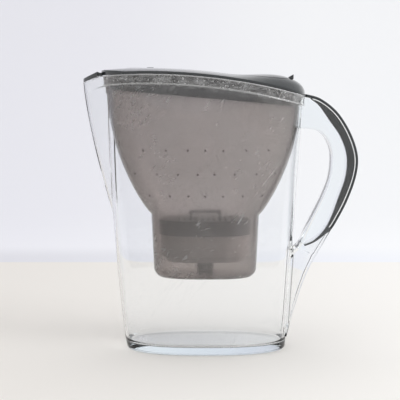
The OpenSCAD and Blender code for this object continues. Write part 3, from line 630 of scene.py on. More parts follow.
class PitcherColours(bpy.types.PropertyGroup):
    """Colours of the pitcher's plastics."""

    dark: bpy.props.FloatVectorProperty(
        name="Lid",
        description="Moulded ABS of the lid and flaps",
        subtype="COLOR",
        default=linear("26292b"),
        size=3,
    )
    grip: bpy.props.FloatVectorProperty(
        name="Grip",
        description="Soft grip of the handle",
        subtype="COLOR",
        default=linear("303336"),
        size=3,
    )
    cup: bpy.props.FloatVectorProperty(
        name="Cartridge cup",
        description="Polypropylene of the cartridge",
        subtype="COLOR",
        default=linear("f0ebec"),
        size=3,
    )
    cap: bpy.props.FloatVectorProperty(
        name="Cartridge cap",
        description="Polypropylene of the cap",
        subtype="COLOR",
        default=linear("918e95"),
        size=3,
    )
    # Table and wall tints. The left halves are darker: painted shade for light that falls from the right
    floor: bpy.props.FloatVectorProperty(
        name="Table",
        description="Matt table top, right half",
        subtype="COLOR",
        default=linear("fbf8f4"),
        size=3,
    )
    floor_left_painted_shade: bpy.props.FloatVectorProperty(
        name="Table left",
        description="Matt table top, left half, darker as painted shade",
        subtype="COLOR",
        default=linear("efeae4"),
        size=3,
    )
    # The gap's darker tints paint the shadow at the wall's foot, where the table ends
    gap: bpy.props.FloatVectorProperty(
        name="Gap",
        description="Painted shadow at the wall's foot behind the table, right half",
        subtype="COLOR",
        default=linear("f8f9fd"),
        size=3,
    )
    gap_left_painted_shadow: bpy.props.FloatVectorProperty(
        name="Gap left",
        description="Painted shadow at the wall's foot behind the table, left half, darker still as painted shade",
        subtype="COLOR",
        default=linear("e6e5ea"),
        size=3,
    )
    wall: bpy.props.FloatVectorProperty(
        name="Wall",
        description="Painted wall, right half",
        subtype="COLOR",
        default=linear("fdfdfe"),
        size=3,
    )
    wall_left_painted_shade: bpy.props.FloatVectorProperty(
        name="Wall left",
        description="Painted wall, left half, darker as painted shade",
        subtype="COLOR",
        default=linear("f4f3f8"),
        size=3,
    )


class PitcherSizes(bpy.types.PropertyGroup):
    """Sizes of the small repeated forms."""

    pip_d: bpy.props.FloatProperty(
        name="Pip", description="Diameter of the funnel's raised pips", default=0.0021, unit="LENGTH"
    )
    pip_h: bpy.props.FloatProperty(
        name="Pip height", description="How far a pip stands out", default=0.0008, unit="LENGTH"
    )
    granule_d: bpy.props.FloatProperty(
        name="Granule", description="Diameter of a filter granule", default=0.0011, unit="LENGTH"
    )
    mesh_pitch: bpy.props.FloatProperty(
        name="Mesh", description="Spacing of the screens' threads", default=0.0012, unit="LENGTH"
    )


def sizes():
    """The scene's settings for sizes."""
    return bpy.context.scene.pitcher_sizes


def colours():
    """The scene's settings for colours."""
    return bpy.context.scene.pitcher_colours


# The jug


def jug_shell():
    """The body with its spout, from the foot up its outside and down its inside."""
    # The band's profile: height above the ledge, and how far in it lies
    top = [(0.0, 0.0), (0.15, -0.9), (0.45, -1.4), (1.0, -1.6), (8.6, -1.6), (9.0, -1.5), (9.3, -1.25)]
    rings = []
    for q in quarter(7):
        inset = FOOT * (1 - math.sin(q))
        rings.append(jug_ring(FOOT * (1 - math.cos(q)), inset, inset))
    levels = sorted({*np.linspace(8, 248, 61).tolist(), SPOUT_FOOT_Z})
    rings += [jug_ring(z, 0, 0) for z in levels]
    rings += [jug_ring(LEDGE_Z + dz, out, 0) for dz, out in top]
    rings.append(jug_ring(RIM_H, RIM_ROUND - BAND_PROUD, RIM_ROUND))
    rings.append(jug_ring(RIM_H, JUG_WALL - LEDGE_W, JUG_WALL))
    rings.append(jug_ring(LEDGE_Z, JUG_WALL - LEDGE_W, JUG_WALL))
    rings.append(jug_ring(LEDGE_Z - HAIR, JUG_WALL, JUG_WALL))
    rings += [jug_ring(z, JUG_WALL, JUG_WALL) for z in reversed(levels) if z > JUG_FLOOR + FLOOR_ROUND + 1]
    for q in quarter(7):
        inset = JUG_WALL + FLOOR_ROUND * (1 - math.cos(q))
        rings.append(jug_ring(JUG_FLOOR + FLOOR_ROUND * (1 - math.sin(q)), inset, inset))
    return skin("jug_clear", rings)


END_SHARE = 0.096


def stretched(side):
    """A side view with both of its ends moved out by a share of a step."""
    return [side[0] + END_SHARE * (side[0] - side[1]), *side, side[-1] + END_SHARE * (side[-1] - side[-2])]


def lip_side(side):
    """The outermost GRIP_LIP of a side view."""
    return [np.array((p, p - GRIP_LIP * (p - q) / np.linalg.norm(p - q))) for p, q in side]


# Steps between two pairs of a side view
STEPS = 8
GRIP_SIDE = smooth_pairs(GRIP_PAIRS, STEPS)
GRIP_TOP = GRIP_SIDE[: STEPS * (LIP_PAIRS - 1) + 1]
GRIP_FOOT = GRIP_SIDE[STEPS * (LIP_PAIRS - 1) :]


def swept(name, side, outline, outer_cut=0.0, inner_cut=0.0):
    """A bar along a side view, cut short by a length at its outer side and at its inner side."""
    return skin(name, section_rings(side, outline, outer_cut, inner_cut))


def make_jug():
    """The clear jug: body, spout, handle with its channel, and tail fin."""
    shell = jug_shell()
    bar = rounded(HANDLE_W, 3.0, 1.5)
    handle = swept("handle", smooth_pairs(HANDLE_PAIRS, STEPS), bar, GRIP_LIP - SEAT_GAP)
    tail = swept("tail", smooth_pairs(TAIL_PAIRS, STEPS), bar)
    combine(handle, "UNION", [tail])
    # The inside of the jug stays clear of the handle's root
    levels = [JUG_FLOOR, *np.linspace(12, 244, 30).tolist(), RIM_H]
    inside = skin("inside", [jug_ring(z, JUG_WALL / 2, JUG_WALL / 2) for z in levels])
    combine(handle, "DIFFERENCE", [inside])
    combine(shell, "UNION", [handle])
    fin = [
        np.array(((back_x(z) + FIN_REACH, z - FIN_FALL), (back_x(z) + TAIL_WEB, z)))
        for z in range(FIN_TOP_Z, FIN_FOOT_Z - 1, -FIN_STEP)
    ]
    channel, slot = rounded(CHANNEL_W, 0.6, 0.0, 2), rounded(HANDLE_W + 2 * OVER, 0.0, 0.0, 2)
    cuts = [
        swept("cut_grip", stretched(GRIP_SIDE), channel, -CHANNEL_REACH, -GRIP_GAP),
        swept("cut_lip", stretched(lip_side(GRIP_TOP)), slot, -CHANNEL_REACH / 2, -LIP_GAP),
        swept("cut_fin", fin, channel),
    ]
    combine(shell, "DIFFERENCE", cuts)
    # Clear styrene-acrylonitrile: nearly colourless, faintly blue where it is looked at edge-on
    material = clear_material(
        "Clear SAN, moulded",
        tint=(0.985, 0.99, 0.995),
        haze=0.015,
        shadow=(0.995, 0.995, 0.995),
        absorb=(2.4, 1.4, 0.8),
        ior=1.46,
        rub=0.9,
        scratch=0.08,
    )
    return finish_piece(shell, "jug", ["jug_body"], material, 28)


def make_flange_edge_highlights():
    """A near-white strip along the upper edge of each flange, just inside the grip's lip: a painted highlight
    for the shine that edge shows from end to end.
    """
    bead_depth, bead_w, bead_gap = 1.1, 0.5, 0.15
    side = [
        np.array((p, p - (GRIP_LIP + bead_depth) * (p - q) / np.linalg.norm(p - q)))
        for p, q in GRIP_TOP[STEPS // 2 :]
    ]
    beads = []
    for s in (-1, 1):
        bead = section_rings(side, rounded(bead_w, 0.2, 0.2, 3), GRIP_LIP + bead_gap)
        out = s * (HANDLE_W / 2 - bead_w / 2 - 0.01)
        beads.append(skin("bead", [[(x, y + out, z) for x, y, z in ring] for ring in bead]))
    ob = combine(beads[0], "UNION", beads[1:])
    ob.name = ob.data.name = "jug_flange_edge_highlights"
    # Opaque and near-white, not clear: a painted highlight where the clear edge catches the light
    material = moulded_material("Painted highlight on the flange edge", linear("f4f6f8"), 0.25, 0.5, 0.005, 0.05)
    return finish_piece(ob, "jug", [], material)


def make_grip():
    """The dark grip, and the painted highlights along the flanges' edges beside it."""

    def lipped(depth):
        """A T: a core between the flanges and a lip over their edges."""
        core, lip, r = GRIP_W / 2, HANDLE_W / 2, 1.1
        neck, edge = depth - GRIP_LIP, min(1.0, 0.2 * depth)
        half = [(0.0, core - edge), (0.3 * edge, core - 0.3 * edge), (edge, core)]
        half += [(neck, core), (neck, lip - 0.5), (neck + 0.15, lip - 0.12), (neck + 0.5, lip)]
        for k in range(6):
            q = math.radians(18 * k)
            half.append((depth - r + r * math.sin(q), lip - r + r * math.cos(q)))
        # The outer face is faintly crowned
        half += [(depth - 0.02, lip - 2.6), (depth, lip - 6)]
        return [(t, -y) for t, y in half] + [(t, y) for t, y in reversed(half)]

    make_flange_edge_highlights()
    grip = swept("grip", GRIP_TOP, lipped)
    foot = swept("grip_foot", GRIP_FOOT, rounded(GRIP_W, 0.9, 0.9))
    combine(grip, "UNION", [foot])
    # Thermoplastic elastomer: dark, matt and faintly grained, and greyer where it is worn
    material = moulded_material("Soft grip elastomer, moulded", tuple(colours().grip), 0.5, 0.5, 0.04, 0.12)
    return finish_piece(grip, "jug", ["handle_grip"], material)


# The funnel


def hopper_section(v):
    """Middle, half sizes and squareness of the bowl at a share of its height."""
    g = math.sin(math.radians(90 * v**HOPPER_POWER))
    a = lerp(CHAMBER_L / 2, half_l(LEDGE_Z) - HOPPER_IN, g)
    b = lerp(CHAMBER_W / 2, half_w(LEDGE_Z) - HOPPER_IN, g)
    return lerp(CHAMBER_X, mid_x(LEDGE_Z), g), a, b, lerp(CHAMBER_POWER, OVAL_POWER, g)


def hopper_ring(v, wall):
    middle, a, b, power = hopper_section(v)
    return bent(oval(middle, a - wall, b - wall, power, lerp(NECK_Z, LEDGE_Z, v)))


def chamber_ring(z, inset):
    t = part01((NECK_Z - z) / (NECK_Z - CHAMBER_Z))
    a = (CHAMBER_L - CHAMBER_TAPER * t) / 2 - inset
    b = (CHAMBER_W - CHAMBER_TAPER * t) / 2 - inset
    return bent(oval(CHAMBER_X, a, b, CHAMBER_POWER, z))


def stub_ring(d, z):
    return bent(oval(CHAMBER_X, d / 2, d / 2, 2, z))


def funnel_rings():
    """The funnel's wall: up its outside from the stub, over the flange and down its inside."""
    stub_top = CHAMBER_Z + FUNNEL_WALL + STUB_H
    floor_z, inner_round = CHAMBER_Z + FUNNEL_WALL, CHAMBER_ROUND - FUNNEL_WALL
    flange_z, top_z = LEDGE_Z + SEAT_GAP, RIM_H - 1
    shares = np.linspace(0, 1, 37)[:-1].tolist()
    sides = np.linspace(CHAMBER_Z + CHAMBER_ROUND + 3, NECK_Z - 3, 9).tolist()
    rings = [stub_ring(STUB_BORE, z) for z in (stub_top, CHAMBER_Z)]
    for q in quarter(10):
        inset = CHAMBER_ROUND * (1 - math.sin(q))
        rings.append(chamber_ring(CHAMBER_Z + CHAMBER_ROUND * (1 - math.cos(q)), inset))
    rings += [chamber_ring(z, 0) for z in sides]
    rings += [hopper_ring(v, 0) for v in shares]
    flange = [
        (LEDGE_Z - SEAT_GAP, HOPPER_IN),
        (flange_z, HOPPER_IN),
        (flange_z, FLANGE_IN),
        (top_z, FLANGE_IN),
        (top_z, FLANGE_IN + FUNNEL_WALL),
        (flange_z + FUNNEL_WALL, FLANGE_IN + FUNNEL_WALL),
        (flange_z, HOPPER_IN + FUNNEL_WALL),
    ]
    rings += [rim_oval(z, inset) for z, inset in flange]
    rings += [hopper_ring(v, FUNNEL_WALL) for v in reversed(shares)]
    rings += [chamber_ring(z, FUNNEL_WALL) for z in reversed(sides)]
    for q in reversed(quarter(10)):
        inset = FUNNEL_WALL + inner_round * (1 - math.sin(q))
        rings.append(chamber_ring(floor_z + inner_round * (1 - math.cos(q)), inset))
    return rings + [stub_ring(STUB_D, z) for z in (floor_z, stub_top)]


def funnel_front(x, z):
    """The point and outward normal of the funnel's near wall at a place of its side view."""

    def depth(px, pz):
        v = part01((pz + rim_drop(px) * bend_share(pz) - NECK_Z) / (LEDGE_Z - NECK_Z))
        middle, a, b, power = hopper_section(v)
        return b * max(0.0, 1 - (abs(px - middle) / a) ** power) ** (1 / power)

    # The slopes, taken over one millimetre
    slope_x = depth(x + 0.5, z) - depth(x - 0.5, z)
    slope_z = depth(x, z + 0.5) - depth(x, z - 0.5)
    normal = np.array((-slope_x, 1.0, -slope_z))
    return np.array((x, depth(x, z), z)), normal / np.linalg.norm(normal)


# Each row's height, and where its pips stand along X
PIP_ROWS = [
    (191.5, [-71.5, -50.5, -30.5, -14.5, 2.0, 23.0, 43.5, 61.0]),
    (169.5, [-79.5, -58.5, -39.5, -21.5, -6.0, 12.5, 32.5, 50.0]),
    (149.0, [-66.0, -47.0, -30.0, -14.5, 2.0, 20.0, 38.5]),
]


def pip_points():
    """Where the pips stand: three staggered rows on both sides."""
    places, normals = [], []
    for z, row in PIP_ROWS:
        for x in row:
            point, normal = funnel_front(x, z)
            for side in (-1, 1):
                places.append(point * (1, side, 1))
                normals.append(normal * (1, side, 1))
    return places, normals


def geometry_tree(name, inputs):
    """A new Geometry Nodes tree with its named inputs."""
    tree = bpy.data.node_groups.new(name, "GeometryNodeTree")
    tree.interface.new_socket("Geometry", in_out="INPUT", socket_type="NodeSocketGeometry")
    for label, kind, default in inputs:
        socket = tree.interface.new_socket(label, in_out="INPUT", socket_type=kind)
        socket.default_value = default
    tree.interface.new_socket("Geometry", in_out="OUTPUT", socket_type="NodeSocketGeometry")
    return tree, add(tree, "NodeGroupInput")


def end_tree(tree, geometry, material):
    """Real geometry with its material, as the last two nodes of a tree."""
    real = add(tree, "GeometryNodeRealizeInstances", {0: geometry})
    finished = add(tree, "GeometryNodeSetMaterial", {0: real, "Material": material})
    add(tree, "NodeGroupOutput", {0: finished})


def run_tree(ob, tree, values):
    """Sets a tree's inputs by their identifiers and turns its result into the object's mesh."""
    m = ob.modifiers.new(tree.name, "NODES")
    m.node_group = tree
    for item in tree.interface.items_tree:
        if item.item_type == "SOCKET" and item.in_out == "INPUT" and item.name in values:
            m[item.identifier] = values[item.name]
    return settle(ob)


def make_pips(material):
    """The raised pips: flattened balls on points that carry the wall's normal."""
    places, normals = pip_points()
    ob = mesh_from_points("funnel_pips", places)
    attribute = ob.data.attributes.new("facing", "FLOAT_VECTOR", "POINT")
    attribute.data.foreach_set("vector", np.array(normals, np.float32).ravel())
    tree, given = geometry_tree(
        "Pips", [("Diameter", "NodeSocketFloat", 0.002), ("Height", "NodeSocketFloat", 0.0008)]
    )
    facing = add(tree, "GeometryNodeInputNamedAttribute", {"Name": "facing"}, data_type="FLOAT_VECTOR")
    turn = add(tree, "FunctionNodeAlignRotationToVector", {"Vector": facing}, axis="Z")
    half = add(tree, "ShaderNodeMath", {0: given.outputs["Diameter"], 1: 0.5}, operation="MULTIPLY")
    ball = add(tree, "GeometryNodeMeshUVSphere", {"Radius": half, "Segments": 20, "Rings": 10})
    flat = add(tree, "ShaderNodeMath", {0: given.outputs["Height"], 1: half}, operation="DIVIDE")
    scale = add(tree, "ShaderNodeCombineXYZ", {0: 1.0, 1: 1.0, 2: flat})
    placed = add(
        tree,
        "GeometryNodeInstanceOnPoints",
        {"Points": given.outputs["Geometry"], "Instance": ball, "Rotation": turn, "Scale": scale},
    )
    end_tree(tree, placed, material)
    run_tree(ob, tree, {"Diameter": sizes().pip_d, "Height": sizes().pip_h})
    return finish_piece(ob, "funnel", [], material, 60)


def make_funnel():
    """The smoked funnel with its pips."""
    # Smoked styrene-acrylonitrile: the same clear plastic with a warm grey dye through its wall
    material = clear_material(
        "Smoked SAN, moulded",
        tint=(0.95, 0.945, 0.945),
        haze=0.19,
        shadow=(0.93, 0.925, 0.925),
        absorb=(255, 300, 320),
        scratch=0.5,
        bloom=0.12,
    )
    ob = skin("funnel_smoked", funnel_rings(), looped=True)
    finish_piece(ob, "funnel", ["funnel"], material, 28)
    # A pip bends away the light that comes through it, so it looks darker than the wall; that darkness is
    # painted shade, a darker tint than the wall's own
    pip = clear_material("Smoked SAN pip, painted shade", (0.5, 0.47, 0.47), 0.1, (0.7, 0.7, 0.7), scratch=0.0)
    make_pips(pip)
    return ob


# The cartridge


GRAIN_DENSITY = 260000.0  # grains on each square metre
THREAD_T = 0.00022  # metres


def softened(node, name, width, body, material):
    """A CAD node's own shape with small rounds on its edges."""
    ob = node_copy(node, name)
    rounded_edges(ob, width)
    return finish_piece(ob, body, [node], material)


def make_cartridge():
    """The filter cartridge: cup, cap, seal, two screens and the bed of granules."""
    # Polypropylene: waxy and slightly translucent, moulded satin
    cup = moulded_material("Polypropylene cup, moulded satin", tuple(colours().cup), 0.34, 0.8, 0.03)
    cap = moulded_material("Polypropylene cap, moulded satin", tuple(colours().cap), 0.3, 0.8, 0.03)
    # Silicone: black and dull, with soft highlights
    seal = moulded_material("Silicone seal, moulded", linear("2a2a2c"), 0.45, 0.3, 0.02)
    # The screens: a dry white plastic, and woven threads that look papery beside it
    plate = moulded_material("Polypropylene screen plate", linear("d8d8d4"), 0.4, 0.5, 0.02)
    thread = moulded_material("Polyester thread, woven", linear("e6e6e2"), 0.55, 0.2, 0.01)
    # Charcoal with tan grains of resin: rough and dull
    coal = moulded_material(
        "Charcoal and resin granules", linear("24211f"), 0.55, 0.25, 0.06, wear=linear("6d5f4c")
    )
    softened("cartridge_cup", "cartridge_cup_moulded", 0.6, "cartridge", cup)
    softened("cartridge_cap", "cartridge_cap_moulded", 0.45, "cartridge", cap)
    softened("outlet_seal", "outlet_seal_ring", 0.35, "cartridge", seal)
    for node in ("top_screen", "bottom_screen"):
        softened(node, node + "_plate", 0.12, "cartridge", plate)
        make_threads(node, thread)
    make_granules(coal)


def make_threads(node, material):
    """The woven mesh in a screen's plate: two crossing runs of threads, cut to the stadium outline.

    A real mesh is several times finer, and is drawn this coarse so that it shows.
    """
    low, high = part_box(node)
    z = (low[2] + high[2]) / 2
    # The threads end inside the plate's rim
    rim = 0.0015
    half_x, half_y = (high[0] - low[0]) / 2 - rim, (high[1] - low[1]) / 2 - rim
    cx, cy, pitch, flat = (low[0] + high[0]) / 2, (low[1] + high[1]) / 2, sizes().mesh_pitch, half_x - half_y
    places, spans, turns, apart = [], [], [], 0.00006
    count = int(half_x / pitch)
    for i in range(-count, count + 1):
        x = i * pitch
        reach = math.sqrt(max(0.0, half_y**2 - max(0.0, abs(x) - flat) ** 2))
        places.append((cx + x, cy, z - apart))
        spans.append(2 * reach)
        turns.append(math.pi / 2)
    count = int(half_y / pitch)
    for j in range(-count, count + 1):
        y = j * pitch
        reach = flat + math.sqrt(max(0.0, half_y**2 - y**2))
        places.append((cx, cy + y, z + apart))
        spans.append(2 * reach)
        turns.append(0.0)
    ob = mesh_from_points(node + "_threads", np.array(places) * 1000)
    for label, values in (("span", spans), ("turn", turns)):
        ob.data.attributes.new(label, "FLOAT", "POINT").data.foreach_set("value", values)
    tree, given = geometry_tree("Threads " + node, [("Thickness", "NodeSocketFloat", THREAD_T)])
    span = add(tree, "GeometryNodeInputNamedAttribute", {"Name": "span"}, data_type="FLOAT")
    turn = add(tree, "GeometryNodeInputNamedAttribute", {"Name": "turn"}, data_type="FLOAT")
    thread = add(tree, "GeometryNodeMeshCylinder", {"Vertices": 6, "Radius": 0.5, "Depth": 1.0})
    laid = add(tree, "GeometryNodeTransform", {0: thread, "Rotation": (0, math.pi / 2, 0)})
    angle = add(tree, "ShaderNodeCombineXYZ", {2: turn})
    thick = given.outputs["Thickness"]
    scale = add(tree, "ShaderNodeCombineXYZ", {0: span, 1: thick, 2: thick})
    placed = add(
        tree,
        "GeometryNodeInstanceOnPoints",
        {"Points": given.outputs["Geometry"], "Instance": laid, "Rotation": angle, "Scale": scale},
    )
    end_tree(tree, placed, material)
    run_tree(ob, tree, {"Thickness": THREAD_T})
    return finish_piece(ob, "cartridge", [], material, 60)


def make_granules(material):
    """The bed of granules: a block with loose grains over its whole surface, just inside its CAD space."""
    ob = node_copy("filter_media", "filter_media_granules")
    bm = bmesh.new()
    bm.from_mesh(ob.data)
    low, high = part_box("filter_media")
    centre = [(a + b) / 2 for a, b in zip(low, high)]
    for v in bm.verts:
        for k in range(3):
            v.co[k] = centre[k] + (v.co[k] - centre[k]) * (1 - sizes().granule_d / (high[k] - low[k]))
    bm.to_mesh(ob.data)
    bm.free()
    tree, given = geometry_tree(
        "Granules", [("Diameter", "NodeSocketFloat", 0.0011), ("Density", "NodeSocketFloat", GRAIN_DENSITY)]
    )
    spread = add(
        tree,
        "GeometryNodeDistributePointsOnFaces",
        {"Mesh": given.outputs["Geometry"], "Density": given.outputs["Density"], "Seed": 7},
    )
    half = add(tree, "ShaderNodeMath", {0: given.outputs["Diameter"], 1: 0.5}, operation="MULTIPLY")
    grain = add(tree, "GeometryNodeMeshIcoSphere", {"Radius": half, "Subdivisions": 1})
    size = add(tree, "FunctionNodeRandomValue", {2: 0.55, 3: 1.0, "Seed": 3}, data_type="FLOAT")
    placed = add(
        tree,
        "GeometryNodeInstanceOnPoints",
        {
            "Points": spread.outputs["Points"],
            "Instance": grain,
            "Rotation": spread.outputs["Rotation"],
            "Scale": size.outputs[1],
        },
    )
    both = add(tree, "GeometryNodeJoinGeometry")
    tree.links.new(given.outputs["Geometry"], both.inputs[0])
    tree.links.new(placed.outputs[0], both.inputs[0])
    end_tree(tree, both, material)
    run_tree(ob, tree, {"Diameter": sizes().granule_d, "Density": GRAIN_DENSITY})
    return finish_piece(ob, "cartridge", ["filter_media"], material, 20)


# The lid

LID_L2, LID_W2 = half_l(RIM_H) + BAND_PROUD, half_w(RIM_H) + BAND_PROUD


def lid_top(x, y):
    """The lid's top as it is laid out level: an edge, a crown over it and a hump at the handle's end."""
    edge = LID_EDGE_H + FRONT_EDGE_RISE * part01((FRONT_EDGE_X - x) / FRONT_EDGE_RUN)
    crown = LID_RISE + HUMP_RISE * smooth01((x - HUMP_START_X) / (HUMP_END_X - HUMP_START_X))
    end = math.sqrt(max(0.0, 1 - min(1.0, abs(x - mid_x(RIM_H)) / LID_L2) ** END_POWER))
    half = max(0.5, LID_W2 / LID_L2 * oval_x(x - mid_x(RIM_H), LID_L2, LID_L2))
    return RIM_H + edge + (crown - edge) * end * (1 - min(1.0, abs(y) / half) ** DOME_POWER)


def lid_top_z(x, y=0.0):
    """The height of the lid's top, bent to the rim's arc."""
    return bend_z(x, lid_top(x, y))


def opening_ring(grow, count=OVAL_POINTS):
    mid, half = (MAIN_FRONT_X + OPENING_BACK_X) / 2, (OPENING_BACK_X - MAIN_FRONT_X) / 2
    return oval(mid, half + grow, OPENING_W / 2 + grow, OPENING_POWER, 0, count)


def lid_outline(inset, z=0.0):
    return oval(mid_x(RIM_H), half_l(RIM_H) - inset, half_w(RIM_H) - inset, OVAL_POWER, z)


def on_top(inner, outer, u, lower):
    """A ring between two others at a share u of the way, laid on the lid's top or below it."""
    points = []
    for a, b in zip(inner, outer):
        x, y = lerp(a[0], b[0], u), lerp(a[1], b[1], u)
        points.append((x, y, lid_top_z(x, y) - lower))
    return points


HINGE_Z = lid_top_z(HINGE_X) - BARREL_D / 2
SPOUT_HINGE_X = mid_x(RIM_H) - LID_L2 - SPOUT_HINGE_OUT
SPOUT_HINGE_Z = bend_z(SPOUT_HINGE_X, RIM_H) + SEAT_GAP + SPOUT_BARREL_D / 2
INDICATOR_TOP_Z = lid_top_z(INDICATOR_X)


def lid_skin():
    """The lid's wall: throat, underside, skirt, seat and domed top."""
    skirt_in = HOPPER_IN + FUNNEL_WALL + NEST_GAP + SEAT_GAP
    opening, throat, edge = opening_ring(0), opening_ring(THROAT_WALL), lid_outline(-BAND_PROUD)
    skirt = lid_outline(skirt_in + SKIRT_T)

    def foot(inset):
        ring, low = lid_outline(inset + SKIRT_TAPER), RIM_H - SKIRT_H
        return bent([(x, y, low + SKIRT_RISE * ((x - mid_x(RIM_H)) / LID_L2) ** 2) for x, y, _ in ring])

    # Shares of the way from the opening outwards; the steps are fine where the dome falls to the edge
    under = [0, 0.2, 0.4, 0.6, 0.75, 0.87, 0.93]
    over = [1, 0.998, 0.994, 0.988, 0.98, 0.97, 0.958, 0.943, 0.925, 0.9, 0.87]
    over += [0.83, 0.78, 0.7, 0.6, 0.5, 0.4, 0.3, 0.2, 0.1, 0.03, 0]
    rings = [on_top(opening, edge, 0, THROAT_H), on_top(throat, edge, 0, THROAT_H)]
    rings += [on_top(throat, skirt, u, LID_WALL) for u in under]
    rings += [foot(skirt_in + SKIRT_T), foot(skirt_in)]
    rings += [bent(lid_outline(skirt_in, RIM_H + SEAT_GAP)), bent(lid_outline(-BAND_PROUD, RIM_H + SEAT_GAP))]
    rings += [on_top(opening, edge, u, 0) for u in over]
    return skin("lid_moulded", rings, looped=True)


def make_lid():
    """The lid with its two hinges and the indicator's well, and the flaps that turn on it."""
    ear_y, spout_ear_y = BARREL_L / 2 + SIDE_GAP, SPOUT_BARREL_L / 2 + SIDE_GAP
    well_z = INDICATOR_TOP_Z - INDICATOR_H - SEAT_GAP
    well_d, well_foot_z = INDICATOR_D + 2 * SEAT_GAP, well_z - WELL_FLOOR
    rest_top = lid_top_z(OPENING_BACK_X - FLAP_GAP, REST_HALF_W) - FLAP_T - SEAT_GAP
    rest_low = (OPENING_BACK_X - REST_L, -REST_HALF_W, rest_top - REST_T)
    adds = [
        disc("well", INDICATOR_X, 0, well_foot_z, well_foot_z + INDICATOR_H, well_d + 2 * WELL_WALL),
        block("rest", rest_low, (OPENING_BACK_X + THROAT_WALL / 2, REST_HALF_W, rest_top)),
    ]
    ear_x, ear_z = HINGE_X - BARREL_D / 2 - NOTCH_GAP, HINGE_Z - BARREL_D / 2
    ear_back_x, ear_top_z = ear_x + BARREL_D + NOTCH_GAP, ear_z + BARREL_D - EAR_LOW
    arm_z = SPOUT_HINGE_Z - SPOUT_BARREL_D / 2
    arm_back_x, arm_top_z = SPOUT_HINGE_X + SPOUT_ARM_L, arm_z + SPOUT_BARREL_D * SPOUT_ARM_SHARE
    for s in (-1, 1):
        y = sorted((s * ear_y, s * (ear_y + EAR_T)))
        adds.append(block("ear", (ear_x, y[0], ear_z), (ear_back_x, y[1], ear_top_z)))
        y = sorted((s * spout_ear_y, s * (spout_ear_y + SPOUT_EAR_T)))
        adds.append(bar_y("spout_ear", SPOUT_HINGE_X, SPOUT_HINGE_Z, SPOUT_BARREL_D, *y))
        adds.append(block("spout_arm", (SPOUT_HINGE_X, y[0], arm_z), (arm_back_x, y[1], arm_top_z)))
    lid = combine(lid_skin(), "UNION", adds)
    reach, spout_reach = ear_y + PIN_L + SEAT_GAP, spout_ear_y + SPOUT_PIN_L + SEAT_GAP
    notch_low = (OPENING_FRONT_X, -ear_y, HINGE_Z - BARREL_D / 2 - NOTCH_GAP)
    notch_high = (MAIN_FRONT_X + 2 * OVER, ear_y, HINGE_Z + 9)
    cuts = [
        block("notch", notch_low, notch_high),
        bar_y("bore", HINGE_X, HINGE_Z, PIN_D + PIN_PLAY, -reach, reach),
        bar_y("spout_bore", SPOUT_HINGE_X, SPOUT_HINGE_Z, SPOUT_PIN_D + PIN_PLAY, -spout_reach, spout_reach),
        disc("well_bore", INDICATOR_X, 0, well_z, well_z + 2 * INDICATOR_H, well_d),
        disc("well_hole", INDICATOR_X, 0, well_foot_z - OVER, well_z + OVER, INDICATOR_D - 2 * WELL_SEAT),
    ]
    combine(lid, "DIFFERENCE", cuts)
    # Acrylonitrile butadiene styrene: hard and dark, glossy from a polished mould, with faint wipe marks
    dark = tuple(colours().dark)
    material = moulded_material("Dark ABS, moulded gloss", dark, 0.05, 2.5, 0.01, 0.07, coat=0.6)
    finish_piece(lid, "lid", ["lid_frame"], material)
    make_flip_lid(material)
    make_spout_flap(material)


def make_flip_lid(material):
    """The flap over the fill opening, with its barrel, pins and thumb tab."""
    plan = opening_ring(-FLAP_GAP, FLAP_POINTS)
    middle = (MAIN_FRONT_X + OPENING_BACK_X) / 2
    steps = [0.02, 0.15, 0.3, 0.45, 0.6, 0.7, 0.8, 0.87, 0.92, 0.955, 0.975, 0.988, 0.996, 1]

    def level(k, lower):
        ring = [(middle + (x - middle) * k, y * k) for x, y, _ in plan]
        return [(x, y, lid_top_z(x, y) - lower) for x, y in ring]

    # The plate's edge is rounded over by about half a millimetre
    top = [level(k, 0.5 * (1 - math.sqrt(max(0.0, 1 - part01((k - 0.985) / 0.015) ** 2)))) for k in steps]
    ob = skin("flip_lid_moulded", [level(k, FLAP_T) for k in steps] + top[::-1])
    tongue_x, tab_x, tab_reach = MAIN_FRONT_X + TONGUE_L, OPENING_BACK_X - 1.2, 2.8
    tab_z = lid_top_z(tab_x)
    tongue = [
        (HINGE_X, HINGE_Z + BARREL_D / 2),
        (tongue_x, lid_top_z(tongue_x) - HAIR),
        (tongue_x, lid_top_z(tongue_x) - FLAP_T),
        (HINGE_X, HINGE_Z + BARREL_D / 2 - FLAP_T),
    ]
    tab = [
        (tab_x - 4, lid_top_z(tab_x - 4) - FLAP_T / 2),
        (tab_x - 1.8, lid_top_z(tab_x - 1.8) + 0.2),
        (tab_x + tab_reach, tab_z + TAB_H - 1.5),
        (tab_x + tab_reach, lid_top_z(tab_x + tab_reach) + SEAT_GAP),
        (tab_x + 1.2, lid_top_z(tab_x + 1.2) + SEAT_GAP),
        (tab_x + 0.2, tab_z - 0.9),
    ]
    thumb = rounded_edges(prism("tab", tab, TAB_W), 0.35)
    barrel = rounded_edges(bar_y("barrel", HINGE_X, HINGE_Z, BARREL_D, -BARREL_L / 2, BARREL_L / 2), 0.3)
    reach = BARREL_L / 2 + SIDE_GAP + PIN_L
    pins = bar_y("pins", HINGE_X, HINGE_Z, PIN_D, -reach, reach)
    combine(ob, "UNION", [prism("tongue", tongue, BARREL_L - 2 * SEAT_GAP), barrel, pins, thumb])
    return finish_piece(ob, "flip_lid", ["flip_lid"], material)


